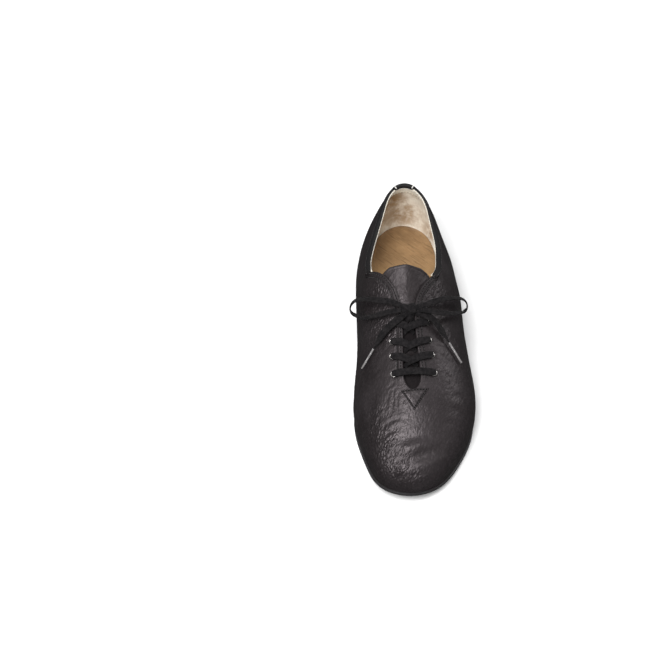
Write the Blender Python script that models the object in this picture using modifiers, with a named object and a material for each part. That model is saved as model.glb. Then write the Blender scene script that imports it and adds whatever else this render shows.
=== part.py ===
"""A left jazz shoe in soft leather: upper, thin sole with a low heel, insole, tongue, eyelets and a tied lace.

The toe points to -Y, the medial side is -X and the floor is z = 0. All lengths are in metres.
"""

import math
from collections import namedtuple

import bmesh
import bpy
import numpy as np
from mathutils import Matrix, Vector

# Driving dimensions.
LENGTH = 0.250
BALL_WIDTH = 0.088
INSTEP_HEIGHT = 0.088
WALL = 0.0020
SOLE_THICKNESS = 0.0032
SOLE_EDGE = 0.0010
HEEL_HEIGHT = 0.0130
HEEL_INSET = 0.0012
TOE_SPRING = 0.0090
INSOLE_THICKNESS = 0.0026
TONGUE_THICKNESS = 0.0022
BINDING_RADIUS = 0.0012
TAB_HALF_WIDTH = 0.0095
TAB_HEIGHT = 0.0028
TAB_THICKNESS = 0.0034
EYELET_RADIUS = 0.0025
EYELET_BORE = 0.0014
EYELET_FLANGE = 0.0005
EYELET_BARREL = 0.0017
LACE_WIDTH = 0.0056
LACE_THICKNESS = 0.0013
AGLET_RADIUS = 0.0008
AGLET_LENGTH = 0.0170
GAP = 0.0003
TONGUE_CLEARANCE = 0.0011

SOLE_TOP = SOLE_THICKNESS + GAP
HEEL_SEAT = SOLE_TOP + HEEL_HEIGHT

# The origin is under the middle of the shoe's box: the heel's back end there, and how far the heel's middle line
# lies to the lateral side, as a share of BALL_WIDTH.
HEEL_END = (LENGTH + SOLE_EDGE) / 2 + 2 * GAP
OFFSET = 0.0182

# Sections of the last, from the heel back to the toe tip. "along" is a share of LENGTH from the heel back,
# "turn" the section's angle from square across, in degrees; "swing", the half widths and the foot line's half
# widths are shares of BALL_WIDTH; "crest" is a share of INSTEP_HEIGHT; "hip" is the share of the section's
# height at which it is widest; "side", "top_in" and "top_out" are how full its shoulders are.
Section = namedtuple(
    "Section", "along turn swing inner outer foot_in foot_out hip crest side top_in top_out"
)
SECTIONS = [
    Section(0.130, 90, 0.020, 0.366, 0.366, 0.335, 0.335, 0.22, 1.060, 0.50, 0.60, 0.60),
    Section(0.132, 60, 0.020, 0.350, 0.350, 0.322, 0.324, 0.22, 0.990, 0.50, 0.52, 0.54),
    Section(0.138, 32, 0.018, 0.340, 0.332, 0.308, 0.306, 0.22, 0.890, 0.50, 0.42, 0.54),
    Section(0.165, 10, 0.010, 0.370, 0.350, 0.302, 0.302, 0.23, 0.810, 0.50, 0.42, 0.52),
    Section(0.230, 0, -0.006, 0.408, 0.414, 0.288, 0.322, 0.25, 0.790, 0.50, 0.50, 0.38),
    Section(0.310, 0, -0.030, 0.410, 0.454, 0.258, 0.364, 0.28, 0.860, 0.50, 0.60, 0.20),
    Section(0.390, 0, -0.055, 0.396, 0.494, 0.250, 0.402, 0.30, 0.915, 0.50, 0.68, 0.26),
    Section(0.470, 0, -0.060, 0.396, 0.504, 0.280, 0.440, 0.29, 0.838, 0.50, 0.62, 0.34),
    Section(0.550, 0, -0.060, 0.409, 0.520, 0.335, 0.474, 0.26, 0.758, 0.50, 0.54, 0.40),
    Section(0.630, 0, -0.058, 0.442, 0.536, 0.401, 0.507, 0.24, 0.684, 0.50, 0.50, 0.44),
    Section(0.710, 0, -0.058, 0.466, 0.540, 0.448, 0.518, 0.24, 0.610, 0.52, 0.54, 0.50),
    Section(0.790, 0, -0.060, 0.447, 0.500, 0.437, 0.488, 0.25, 0.540, 0.55, 0.58, 0.58),
    Section(0.865, 0, -0.070, 0.386, 0.413, 0.382, 0.407, 0.27, 0.462, 0.58, 0.62, 0.62),
    Section(0.930, 0, -0.085, 0.315, 0.312, 0.313, 0.309, 0.30, 0.390, 0.60, 0.64, 0.64),
    Section(0.978, 0, -0.095, 0.203, 0.190, 0.201, 0.188, 0.34, 0.300, 0.60, 0.64, 0.64),
    Section(1.000, 0, -0.100, 0.000, 0.000, 0.000, 0.000, 0.40, 0.150, 0.60, 0.62, 0.62),
]
LEVEL_START = {name: name != "turn" for name in Section._fields}
LEVEL_END = {name: name in ("along", "swing", "hip", "side", "top_in", "top_out") for name in Section._fields}
TIP = len(SECTIONS) - 1
HIP_AT = 0.25

# Height of the topline as a share of INSTEP_HEIGHT, over the sections from the heel back to the facing corner.
Topline = namedtuple("Topline", "section height")
TOPLINE = [
    Topline(0.0, 0.768),
    Topline(1.0, 0.756),
    Topline(2.0, 0.714),
    Topline(3.0, 0.664),
    Topline(4.0, 0.637),
    Topline(5.0, 0.685),
]

# The facing edges from their top corners to the slit's round end: places along the shoe as shares of LENGTH,
# and across it as shares of BALL_WIDTH. The medial corner is the higher one.
Facing = namedtuple("Facing", "medial_along medial lateral_along lateral")
FACINGS = [
    Facing(0.368, -0.345, 0.400, 0.185),
    Facing(0.412, -0.235, 0.438, 0.100),
    Facing(0.462, -0.145, 0.484, 0.025),
    Facing(0.530, -0.108, 0.530, -0.004),
    Facing(0.620, -0.112, 0.620, -0.004),
    Facing(0.710, -0.126, 0.710, 0.010),
]
SLIT_END = 0.752

# Eyelet pairs from the toe end up, with the same shares.
Pair = namedtuple("Pair", "along medial lateral")
PAIRS = [
    Pair(0.704, -0.204, 0.119),
    Pair(0.652, -0.204, 0.110),
    Pair(0.609, -0.197, 0.096),
    Pair(0.557, -0.188, 0.088),
]

# The tongue from its sewn base to its free top: half width across, then how far its middle and its side edges
# rise above the last, as shares of BALL_WIDTH and INSTEP_HEIGHT.
TongueRow = namedtuple("TongueRow", "along middle half rise edge")
TONGUE = [
    TongueRow(0.790, -0.058, 0.130, 0.000, 0.000),
    TongueRow(0.720, -0.056, 0.185, 0.000, 0.000),
    TongueRow(0.620, -0.056, 0.200, 0.000, 0.000),
    TongueRow(0.530, -0.056, 0.205, 0.000, 0.000),
    TongueRow(0.470, -0.058, 0.208, 0.001, 0.000),
    TongueRow(0.435, -0.052, 0.222, 0.006, 0.000),
    TongueRow(0.415, -0.048, 0.232, 0.020, 0.000),
    TongueRow(0.402, -0.048, 0.214, 0.032, 0.012),
    TongueRow(0.394, -0.048, 0.152, 0.037, 0.028),
]

COLLECTION = "jazz_shoe"


def spline(values, at, level_start=True, level_end=False):
    """Reads a smooth cubic spline through values at 0, 1, 2 and so on."""
    y = np.asarray(values, float)
    count = len(y)
    system = np.zeros((count, count))
    right = np.zeros(count)
    for i in range(1, count - 1):
        system[i, i - 1 : i + 2] = (1, 4, 1)
        right[i] = 3 * (y[i + 1] - y[i - 1])
    if level_start:
        system[0, 0] = 1
    else:
        system[0, :2] = (2, 1)
        right[0] = 3 * (y[1] - y[0])
    if level_end:
        system[-1, -1] = 1
    else:
        system[-1, -2:] = (1, 2)
        right[-1] = 3 * (y[-1] - y[-2])
    slope = np.linalg.solve(system, right)
    at = np.clip(np.asarray(at, float), 0, count - 1)
    i = np.minimum(at.astype(int), count - 2)
    f = at - i
    step = y[i + 1] - y[i]
    rest = 3 * step - 2 * slope[i] - slope[i + 1] + f * (slope[i] + slope[i + 1] - 2 * step)
    return y[i] + f * (slope[i] + f * rest)


def smooth_step(value, start, end):
    share = np.clip((value - start) / (end - start), 0, 1)
    return share * share * (3 - 2 * share)


def bezier(p0, p1, p2, p3, t):
    s = 1 - t
    return s**3 * p0 + 3 * s * s * t * p1 + 3 * s * t * t * p2 + t**3 * p3


def section_value(name, q):
    return spline([getattr(row, name) for row in SECTIONS], q, LEVEL_START[name], LEVEL_END[name])


def seat_height(distance):
    """Height of the feather line at this distance from the heel back: heel, arch, ball and toe spring."""
    raised = 1 - smooth_step(distance, 0.26 * LENGTH, 0.60 * LENGTH)
    spring = np.clip((distance - 0.74 * LENGTH) / (0.26 * LENGTH), 0, None) ** 2
    return SOLE_TOP + (HEEL_SEAT - SOLE_TOP) * raised + TOE_SPRING * spring


def last_point(side, q, t):
    """A point of the upper's outer form. side is -1 medial or 1 lateral, q the place along the sections and
    t runs from the feather line at 0, over the widest point at HIP_AT, to the crest at 1."""
    side, q, t = np.broadcast_arrays(*(np.asarray(value, float) for value in (side, q, t)))
    turn = np.radians(section_value("turn", q))
    medial = side < 0
    wide = np.where(medial, section_value("inner", q), section_value("outer", q)) * BALL_WIDTH
    foot = np.where(medial, section_value("foot_in", q), section_value("foot_out", q)) * BALL_WIDTH
    top = np.where(medial, section_value("top_in", q), section_value("top_out", q))
    crest = section_value("crest", q) * INSTEP_HEIGHT
    along = section_value("along", q) * LENGTH
    low = seat_height(along - foot * np.sin(turn))
    hip = low + (crest - low) * section_value("hip", q)
    t_low = np.clip(t / HIP_AT, 0, 1)
    t_high = np.clip((t - HIP_AT) / (1 - HIP_AT), 0, 1)
    below = t < HIP_AT
    flare = foot + 0.75 * (wide - foot)
    radius = np.where(
        below,
        bezier(foot, flare, wide, wide, t_low),
        bezier(wide, wide, top * wide, 0 * wide, t_high),
    )
    shoulder = hip + section_value("side", q) * (crest - hip)
    height = np.where(
        below,
        bezier(low, low + 0.12 * (hip - low), low + 0.5 * (hip - low), hip, t_low),
        bezier(hip, shoulder, crest, crest, t_high),
    )
    x = (section_value("swing", q) + OFFSET) * BALL_WIDTH + side * radius * np.cos(turn)
    y = HEEL_END - along + radius * np.sin(turn)
    return np.stack([x, y, height], -1)


def last_normal(side, q, t):
    """The direction out of the upper's form there."""
    step = 1e-3
    q0 = np.clip(np.asarray(q, float) - step, 0, TIP)
    q1 = np.clip(np.asarray(q, float) + step, 0, TIP)
    t0 = np.clip(np.asarray(t, float) - step, 0, 1)
    t1 = np.clip(np.asarray(t, float) + step, 0, 1)
    across = last_point(side, q, t1) - last_point(side, q, t0)
    forward = last_point(side, q1, t) - last_point(side, q0, t)
    normal = np.cross(across, forward) * np.asarray(side, float)[..., None]
    return normal / np.maximum(np.linalg.norm(normal, axis=-1, keepdims=True), 1e-12)


def crown_place(along, across):
    """side, q and t of the point above the hip at these shares of LENGTH and BALL_WIDTH."""
    rows = np.linspace(4, TIP, 400)
    q = np.interp(along, section_value("along", rows), rows)
    offset = across - section_value("swing", q)
    side = np.where(offset < 0, -1.0, 1.0)
    steps = np.linspace(HIP_AT, 1, 61)
    profile = last_point(side[..., None], q[..., None], steps)[..., 0]
    reach = np.abs(profile / BALL_WIDTH - OFFSET - section_value("swing", q)[..., None])
    t = np.empty_like(q)
    for index in np.ndindex(q.shape):
        t[index] = np.interp(-abs(offset[index]), -reach[index], steps)
    return side, q, t


def on_crown(along, across, above=0.0):
    """Points at a height above the upper's form, measured square to it."""
    along, across = np.broadcast_arrays(np.asarray(along, float), np.asarray(across, float))
    side, q, t = crown_place(along, across)
    return last_point(side, q, t) + last_normal(side, q, t) * np.asarray(above, float)[..., None]


def facing_line(side):
    """The facing edge on one side, as two lists: places along and places across."""
    if side < 0:
        return [row.medial_along for row in FACINGS], [row.medial for row in FACINGS]
    return [row.lateral_along for row in FACINGS], [row.lateral for row in FACINGS]


def corner_section(side):
    """The section at which the topline meets the facing."""
    return section_at(facing_line(side)[0][0])


def edge_share(side, q):
    """t at which the upper ends on its topline, on its facing, or at the crest."""
    corner = corner_section(side)
    places, across = facing_line(side)
    steps = np.linspace(HIP_AT, 1, 121)
    if q <= corner:
        _, _, at_corner = crown_place(np.array(places[0]), np.array(across[0]))
        corner_height = float(last_point(side, corner, at_corner)[2])
        rows = [row.section for row in TOPLINE] + [corner]
        heights = [row.height * INSTEP_HEIGHT for row in TOPLINE] + [corner_height]
        height = spline(heights, np.interp(q, rows, range(len(rows))), True, False)
        return float(np.interp(height, last_point(side, q, steps)[:, 2], steps))
    along = float(section_value("along", q))
    if along >= SLIT_END:
        return 1.0
    if along > places[-1]:
        middle = (FACINGS[-1].medial + FACINGS[-1].lateral) / 2
        bow = (along - places[-1]) / (SLIT_END - places[-1])
        edge = middle + (across[-1] - middle) * math.sqrt(1 - bow * bow)
    else:
        edge = float(spline(across, np.interp(along, places, range(len(places))), False, True))
    _, _, t = crown_place(np.array(along), np.array(edge))
    own_side = (edge - float(section_value("swing", q))) * side > 0
    return float(t) if own_side else 1.0


def section_at(along):
    rows = np.linspace(4, TIP, 400)
    return float(np.interp(along, section_value("along", rows), rows))


def upper_sections(side):
    """Where the upper's columns of faces stand, closer where it bends more or has an edge to follow."""
    corner = corner_section(side)
    straight = section_at(FACINGS[-1].medial_along)
    end = section_at(SLIT_END)
    round_end = [end - (end - straight) * (1 - math.sin(math.pi / 2 * k / 4)) for k in range(1, 5)]
    return np.concatenate(
        [
            np.linspace(0, 4, 15)[:-1],
            np.linspace(4, corner, 6)[:-1],
            np.linspace(corner, straight, 15)[:-1],
            [straight],
            round_end,
            np.linspace(end, TIP, 17)[1:],
        ]
    )


def material(name, colour, roughness, metallic=0.0):
    made = bpy.data.materials.new(name)
    made.use_nodes = True
    surface = made.node_tree.nodes["Principled BSDF"]
    surface.inputs["Base Color"].default_value = (*colour, 1)
    surface.inputs["Roughness"].default_value = roughness
    surface.inputs["Metallic"].default_value = metallic
    made.diffuse_color = (*colour, 1)
    return made


def new_object(name, mesh, finish, collection, smooth=True):
    shaped = bpy.data.objects.new(name, mesh)
    collection.objects.link(shaped)
    shaped.data.materials.append(finish)
    if smooth and isinstance(mesh, bpy.types.Mesh):
        mesh.shade_smooth()
        mesh.set_sharp_from_angle(angle=math.radians(40))
    return shaped


def grid_mesh(name, grids):
    """One open surface from grids of points, sewn where they meet. Each grid is (points, turned over or not)."""
    shape = bmesh.new()
    for points, turned in grids:
        corners = [[shape.verts.new(point) for point in row] for row in points]
        for row, following in zip(corners, corners[1:]):
            for i in range(len(row) - 1):
                face = [row[i], row[i + 1], following[i + 1], following[i]]
                shape.faces.new(face[::-1] if turned else face)
    bmesh.ops.remove_doubles(shape, verts=shape.verts, dist=1e-6)
    bmesh.ops.dissolve_degenerate(shape, edges=shape.edges, dist=1e-7)
    mesh = bpy.data.meshes.new(name)
    shape.to_mesh(mesh)
    shape.free()
    return mesh


def thicken(shaped, thickness, offset=-1.0):
    shell = shaped.modifiers.new("thickness", "SOLIDIFY")
    shell.thickness = thickness
    shell.offset = offset
    shell.use_even_offset = True
    shell.use_quality_normals = True
    return shell


def plate(name, left, right, thickness, finish, collection, columns=2):
    """A sheet between two edges, as thick as given, below its surface. left is at -X, rows run to -Y."""
    shares = np.linspace(0, 1, columns + 1)
    points = [[Vector(a) * (1 - s) + Vector(b) * s for s in shares] for a, b in zip(left, right)]
    shaped = new_object(name, grid_mesh(name, [(points, True)]), finish, collection)
    thicken(shaped, thickness)
    return shaped


def foot_outline(sections, out):
    """The feather line of both sides, moved outward by out, as matching lists from heel back to toe tip."""
    count = len(sections)
    medial = last_point(-1, sections, 0.0)
    lateral = last_point(1, sections, 0.0)
    loop = np.concatenate([medial, lateral[-2:0:-1]])[:, :2]
    run = np.roll(loop, -1, axis=0) - np.roll(loop, 1, axis=0)
    outward = np.stack([run[:, 1], -run[:, 0]], -1)
    outward /= np.linalg.norm(outward, axis=1, keepdims=True)
    moved = loop + outward * out
    first = moved[:count]
    second = np.concatenate([moved[:1], moved[: count - 1 : -1], moved[count - 1 : count]])
    return first, second


def at_height(outline, drop):
    distance = HEEL_END - outline[:, 1]
    return np.column_stack([outline, seat_height(distance) - drop])


def make_outsole(collection, finish):
    sections = np.concatenate([np.linspace(0, 4, 11)[:-1], np.linspace(4, TIP, 34)])
    medial, lateral = foot_outline(sections, SOLE_EDGE)
    left, right = at_height(medial, GAP), at_height(lateral, GAP)
    return plate("outsole", left, right, SOLE_THICKNESS, finish, collection)


def make_insole(collection, finish):
    sections = np.concatenate([np.linspace(0, 4, 9)[:-1], np.linspace(4, TIP, 28)])
    medial, lateral = foot_outline(sections, -(WALL + 2 * GAP))
    drop = -INSOLE_THICKNESS
    left, right = at_height(medial, drop), at_height(lateral, drop)
    return plate("insole", left, right, INSOLE_THICKNESS, finish, collection)


# The heel's layers from its seat down: depth below the seat and breast's distance from the heel back, as shares.
HeelLayer = namedtuple("HeelLayer", "depth breast inset")
HEEL_LAYERS = [
    HeelLayer(0.00, 0.285, 0.0),
    HeelLayer(0.30, 0.240, 0.5),
    HeelLayer(0.65, 0.212, 0.9),
    HeelLayer(1.00, 0.200, 1.0),
]


def make_heel(collection, finish):
    """A low block under the sole, with a breast that slopes forward and up into the arch."""
    rings = []
    for layer in HEEL_LAYERS:
        reach = np.linspace(0, 1, 12)
        limit = section_at(layer.breast)
        sections = np.interp(reach, [0, 1], [0, limit])
        medial, lateral = foot_outline(np.append(sections, limit + 0.2), -HEEL_INSET * layer.inset)
        back = np.concatenate([medial[-2:0:-1], lateral[:-1]])
        top = seat_height(HEEL_END - back[:, 1]) - SOLE_TOP - GAP
        height = top * (1 - layer.depth)
        rings.append(np.column_stack([back, height]))
    shape = bmesh.new()
    loops = [[shape.verts.new(point) for point in ring] for ring in rings]
    for upper_loop, lower_loop in zip(loops, loops[1:]):
        for i in range(len(upper_loop)):
            j = (i + 1) % len(upper_loop)
            shape.faces.new([upper_loop[i], lower_loop[i], lower_loop[j], upper_loop[j]])
    shape.faces.new(loops[0])
    shape.faces.new(loops[-1][::-1])
    bmesh.ops.recalc_face_normals(shape, faces=shape.faces)
    mesh = bpy.data.meshes.new("heel")
    shape.to_mesh(mesh)
    shape.free()
    return new_object("heel", mesh, finish, collection)


def make_upper(collection, cutters, finish):
    rows = np.concatenate([np.linspace(0, HIP_AT, 4)[:-1], np.linspace(HIP_AT, 1, 9)])
    grids = []
    for side in (-1, 1):
        points = []
        for q in upper_sections(side):
            edge = edge_share(side, q)
            low = rows[rows < HIP_AT]
            high = HIP_AT + (rows[rows >= HIP_AT] - HIP_AT) / (1 - HIP_AT) * (edge - HIP_AT)
            points.append(last_point(side, q, np.concatenate([low, high])))
        grids.append((np.array(points), side < 0))
    shaped = new_object("upper", grid_mesh("upper", grids), finish, collection)
    thicken(shaped, WALL)
    for cutter in cutters:
        hole = shaped.modifiers.new(cutter.name, "BOOLEAN")
        hole.operation = "DIFFERENCE"
        hole.solver = "EXACT"
        hole.object = cutter
    return shaped


def eyelet_frames():
    """(name, place on the facing, direction out of it) of each eyelet."""
    frames = []
    for number, pair in enumerate(PAIRS, 1):
        for label, across in (("medial", pair.medial), ("lateral", pair.lateral)):
            side, q, t = crown_place(np.array(pair.along), np.array(across))
            place = last_point(side, q, t)
            frames.append((f"{label}_{number}", Vector(place), Vector(last_normal(side, q, t))))
    return frames


def standing(place, direction):
    """A matrix that moves a shape made round Z to this place and direction."""
    return Matrix.Translation(place) @ direction.to_track_quat("Z", "Y").to_matrix().to_4x4()


def make_hole_cutters(collection):
    cutters = []
    for name, place, direction in eyelet_frames():
        shape = bmesh.new()
        radius = EYELET_BARREL + GAP
        bmesh.ops.create_cone(
            shape, cap_ends=True, segments=12, radius1=radius, radius2=radius, depth=6 * WALL
        )
        mesh = bpy.data.meshes.new("hole_" + name)
        shape.to_mesh(mesh)
        shape.free()
        cutter = bpy.data.objects.new("hole_" + name, mesh)
        collection.objects.link(cutter)
        cutter.matrix_world = standing(place, direction)
        cutter.hide_render = True
        cutter.display_type = "WIRE"
        cutters.append(cutter)
    return cutters


def make_eyelets(collection, finish):
    """Turned rings: a flange on the facing and a barrel through it."""
    profile = [
        (EYELET_BORE, GAP + EYELET_FLANGE),
        (EYELET_RADIUS, GAP + EYELET_FLANGE),
        (EYELET_RADIUS, GAP),
        (EYELET_BARREL, GAP),
        (EYELET_BARREL, -WALL),
        (EYELET_BORE, -WALL),
    ]
    mesh = bpy.data.meshes.new("eyelet")
    edges = [(i, (i + 1) % len(profile)) for i in range(len(profile))]
    mesh.from_pydata([(radius, 0, z) for radius, z in profile], edges, [])
    mesh.update()
    for name, place, direction in eyelet_frames():
        ring = new_object("eyelet_" + name, mesh.copy(), finish, collection, smooth=False)
        turned = ring.modifiers.new("turned", "SCREW")
        turned.steps = turned.render_steps = 12
        turned.use_merge_vertices = True
        turned.merge_threshold = 1e-5
        ring.matrix_world = standing(place, direction)


def make_tongue(collection, finish):
    """A curved leather tongue under the facings, free and raised at its top."""
    depth = WALL + TONGUE_CLEARANCE
    steps = np.linspace(0, len(TONGUE) - 1, 15)
    values = {
        name: spline([getattr(row, name) for row in TONGUE], steps, False, False)
        for name in TongueRow._fields
    }
    across = np.linspace(-1, 1, 9)
    points = []
    bulge = (1 - across**2) ** 3
    for along, middle, half, rise, edge in zip(*(values[name] for name in TongueRow._fields)):
        row = on_crown(np.full(9, along), middle + half * across, -depth)
        row[:, 2] += (edge + (rise - edge) * bulge) * INSTEP_HEIGHT
        points.append(row)
    shaped = new_object("tongue", grid_mesh("tongue", [(np.array(points), False)]), finish, collection)
    thicken(shaped, TONGUE_THICKNESS)
    return shaped


def topline_route(side, above, first):
    """Points over the middle of the topline's edge, from section first to the facing corner."""
    corner = corner_section(side)
    columns = upper_sections(side)
    route = []
    for q in [first, *columns[(columns > first + 0.02) & (columns <= corner)]]:
        t = edge_share(side, q)
        point = last_point(side, q, t)
        normal = last_normal(side, q, t)
        up = point - last_point(side, q, t - 0.01)
        up /= np.linalg.norm(up)
        route.append(point - normal * WALL / 2 + up * above)
    return np.array(route)


def tube(name, route, radius, finish, collection):
    """A round cord of straight pieces through the route, with closed ends."""
    curve = bpy.data.curves.new(name, "CURVE")
    curve.dimensions = "3D"
    curve.bevel_depth = radius
    curve.bevel_resolution = 2
    curve.use_fill_caps = True
    line = curve.splines.new("POLY")
    line.points.add(len(route) - 1)
    for point, place in zip(line.points, route):
        point.co = (*place, 1)
    return new_object(name, curve, finish, collection, smooth=False)


def tab_section():
    """The section at which the heel tab ends, measured along the topline from the heel back."""
    places = np.linspace(0, 3, 61)
    line = np.array([last_point(1, q, edge_share(1, q)) for q in places])
    run = np.concatenate([[0], np.cumsum(np.linalg.norm(np.diff(line, axis=0), axis=1))])
    return float(np.interp(TAB_HALF_WIDTH, run, places))


def make_binding(collection, finish):
    first = tab_section()
    for side, label in ((-1, "medial"), (1, "lateral")):
        route = topline_route(side, 1.5 * GAP + BINDING_RADIUS, first + 0.10)
        tube("binding_" + label, route, BINDING_RADIUS, finish, collection)


def make_heel_tab(collection, finish):
    """A folded tape across the top of the heel, standing on the topline."""
    end = tab_section()
    places = np.linspace(-end, end, 9)
    low, high = [], []
    for q in places:
        side = -1 if q < 0 else 1
        t = edge_share(side, abs(q))
        point = last_point(side, abs(q), t)
        normal = last_normal(side, max(abs(q), 1e-3), t)
        low.append(point - normal * WALL / 2 + Vector((0, 0, 2 * GAP)))
        high.append(low[-1] + Vector((0, 0, TAB_HEIGHT)))
    grid = np.array([low, high])
    shaped = new_object("heel_tab", grid_mesh("heel_tab", [(grid, False)]), finish, collection)
    thicken(shaped, TAB_THICKNESS, 0.0)
    return shaped


LACE_MIDDLE = 2 * GAP + EYELET_FLANGE + LACE_THICKNESS / 2


def ribbon(name, along, across, above, lean, finish, collection):
    """A flat lace whose middle line runs at a height above the upper. Lean turns it onto its edge, in degrees."""
    middle = on_crown(along, across, above)
    run = np.gradient(middle, axis=0)
    side, q, t = crown_place(np.asarray(along, float), np.asarray(across, float))
    normal = last_normal(side, q, t)
    flat = np.cross(normal, run)
    flat /= np.linalg.norm(flat, axis=1, keepdims=True)
    angle = np.radians(np.broadcast_to(lean, len(middle)))[:, None]
    flat = flat * np.cos(angle) + normal * np.sin(angle)
    grid = np.stack([middle - flat * LACE_WIDTH / 2, middle, middle + flat * LACE_WIDTH / 2], 1)
    shaped = new_object(name, grid_mesh(name, [(grid, True)]), finish, collection)
    thicken(shaped, LACE_THICKNESS, 0.0)
    return shaped


def make_lace_bar(collection, finish):
    """The straight run over the lowest pair."""
    pair = PAIRS[0]
    across = np.linspace(pair.medial - 0.012, pair.lateral + 0.012, 9)
    level = np.full(9, LACE_MIDDLE)
    return ribbon("lace_bar", np.full(9, pair.along), across, level, 0, finish, collection)


# A crossing's half, from inside the slit up over the facing to its eyelet: shares of the way, and heights.
Strand = namedtuple("Strand", "way toward_toe above")
STRAND = [
    Strand(-0.14, 0.026, 0.2),
    Strand(0.00, 0.024, 0.6),
    Strand(0.18, 0.019, 0.9),
    Strand(0.40, 0.012, 1.0),
    Strand(0.70, 0.005, 1.0),
    Strand(1.06, 0.000, 1.0),
]


def make_crossings(collection, hidden, finish):
    """Two strands at each upper pair, which come up through the slit, cross and go out to the eyelets."""
    made = []
    for number, pair in enumerate(PAIRS[1:], 2):
        middle = FACINGS[-2].medial / 2 + FACINGS[-2].lateral / 2
        strands = []
        for label, end, lift in (("a", pair.medial, 0.0), ("b", pair.lateral, 0.6 * LACE_THICKNESS)):
            steps = np.linspace(0, len(STRAND) - 1, 11)
            way = spline([row.way for row in STRAND], steps, False, False)
            toward = spline([row.toward_toe for row in STRAND], steps, False, False)
            above = spline([row.above for row in STRAND], steps, False, False)
            strands.append(
                ribbon(
                    f"lace_cross_{number}" if label == "a" else f"strand_{number}",
                    pair.along + toward,
                    middle + (end - middle) * way,
                    LACE_MIDDLE * above + lift,
                    0,
                    finish,
                    collection if label == "a" else hidden,
                )
            )
        join = strands[0].modifiers.new("crossing", "BOOLEAN")
        join.operation = "UNION"
        join.solver = "EXACT"
        join.object = strands[1]
        strands[1].hide_render = True
        strands[1].display_type = "WIRE"
        made.append(strands[0])
    return made


# Routes of the bow and of the free ends, chosen by hand, as the lace's middle line: shares along and across the
# shoe, the height above the upper in metres, and the lean of the flat lace in degrees.
RoutePoint = namedtuple("RoutePoint", "along across above lean")
KNOT = RoutePoint(0.530, -0.035, 0.0052, 0)
KNOT_SIZE = (0.0130, 0.0090, 0.0066)
LOOP_MEDIAL = [
    RoutePoint(0.522, -0.099, 0.0060, 10),
    RoutePoint(0.507, -0.161, 0.0070, 20),
    RoutePoint(0.490, -0.239, 0.0078, 38),
    RoutePoint(0.466, -0.325, 0.0084, 58),
    RoutePoint(0.448, -0.388, 0.0086, 75),
    RoutePoint(0.444, -0.423, 0.0082, 80),
    RoutePoint(0.466, -0.419, 0.0072, 75),
    RoutePoint(0.504, -0.364, 0.0060, 62),
    RoutePoint(0.524, -0.281, 0.0056, 42),
    RoutePoint(0.530, -0.196, 0.0056, 22),
    RoutePoint(0.534, -0.106, 0.0058, 10),
]
LOOP_LATERAL = [
    RoutePoint(0.520, 0.032, 0.0060, -10),
    RoutePoint(0.507, 0.097, 0.0070, -20),
    RoutePoint(0.487, 0.178, 0.0080, -38),
    RoutePoint(0.465, 0.269, 0.0084, -58),
    RoutePoint(0.448, 0.348, 0.0084, -75),
    RoutePoint(0.452, 0.381, 0.0082, -80),
    RoutePoint(0.478, 0.361, 0.0076, -75),
    RoutePoint(0.510, 0.278, 0.0072, -60),
    RoutePoint(0.528, 0.186, 0.0074, -36),
    RoutePoint(0.533, 0.099, 0.0070, -14),
    RoutePoint(0.533, 0.035, 0.0063, -5),
]
END_MEDIAL = [
    RoutePoint(0.546, -0.094, 0.0032, 0),
    RoutePoint(0.558, -0.150, 0.0038, 0),
    RoutePoint(0.570, -0.200, 0.0040, 0),
    RoutePoint(0.584, -0.255, 0.0034, 5),
    RoutePoint(0.598, -0.300, 0.0026, 10),
    RoutePoint(0.608, -0.330, 0.0022, 10),
]
END_LATERAL = [
    RoutePoint(0.541, 0.030, 0.0038, 0),
    RoutePoint(0.548, 0.100, 0.0046, 0),
    RoutePoint(0.560, 0.150, 0.0040, 0),
    RoutePoint(0.576, 0.195, 0.0030, -5),
    RoutePoint(0.590, 0.230, 0.0024, -10),
    RoutePoint(0.600, 0.252, 0.0022, -10),
]


def route_values(route, count):
    steps = np.linspace(0, len(route) - 1, count)
    return [spline([getattr(row, name) for row in route], steps, False, False) for name in RoutePoint._fields]


def make_knot(collection, finish):
    """The bow's knot, a rounded lump over the slit."""
    place = on_crown(np.array([KNOT.along]), np.array([KNOT.across]), np.array([KNOT.above]))[0]
    side, q, t = crown_place(np.array(KNOT.along), np.array(KNOT.across))
    shape = bmesh.new()
    bmesh.ops.create_uvsphere(shape, u_segments=14, v_segments=9, radius=0.5)
    bmesh.ops.scale(shape, vec=KNOT_SIZE, verts=shape.verts)
    mesh = bpy.data.meshes.new("lace_knot")
    shape.to_mesh(mesh)
    shape.free()
    knot = new_object("lace_knot", mesh, finish, collection)
    slope = Vector((0, 0, 1)).rotation_difference(Vector(last_normal(side, q, t)))
    knot.matrix_world = Matrix.Translation(place) @ slope.to_matrix().to_4x4()


def make_bow(collection, finish):
    routes = (
        ("lace_loop_medial", LOOP_MEDIAL, 25),
        ("lace_loop_lateral", LOOP_LATERAL, 25),
        ("lace_end_medial", END_MEDIAL, 11),
        ("lace_end_lateral", END_LATERAL, 11),
    )
    for name, route, count in routes:
        ribbon(name, *route_values(route, count), finish, collection)


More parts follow.
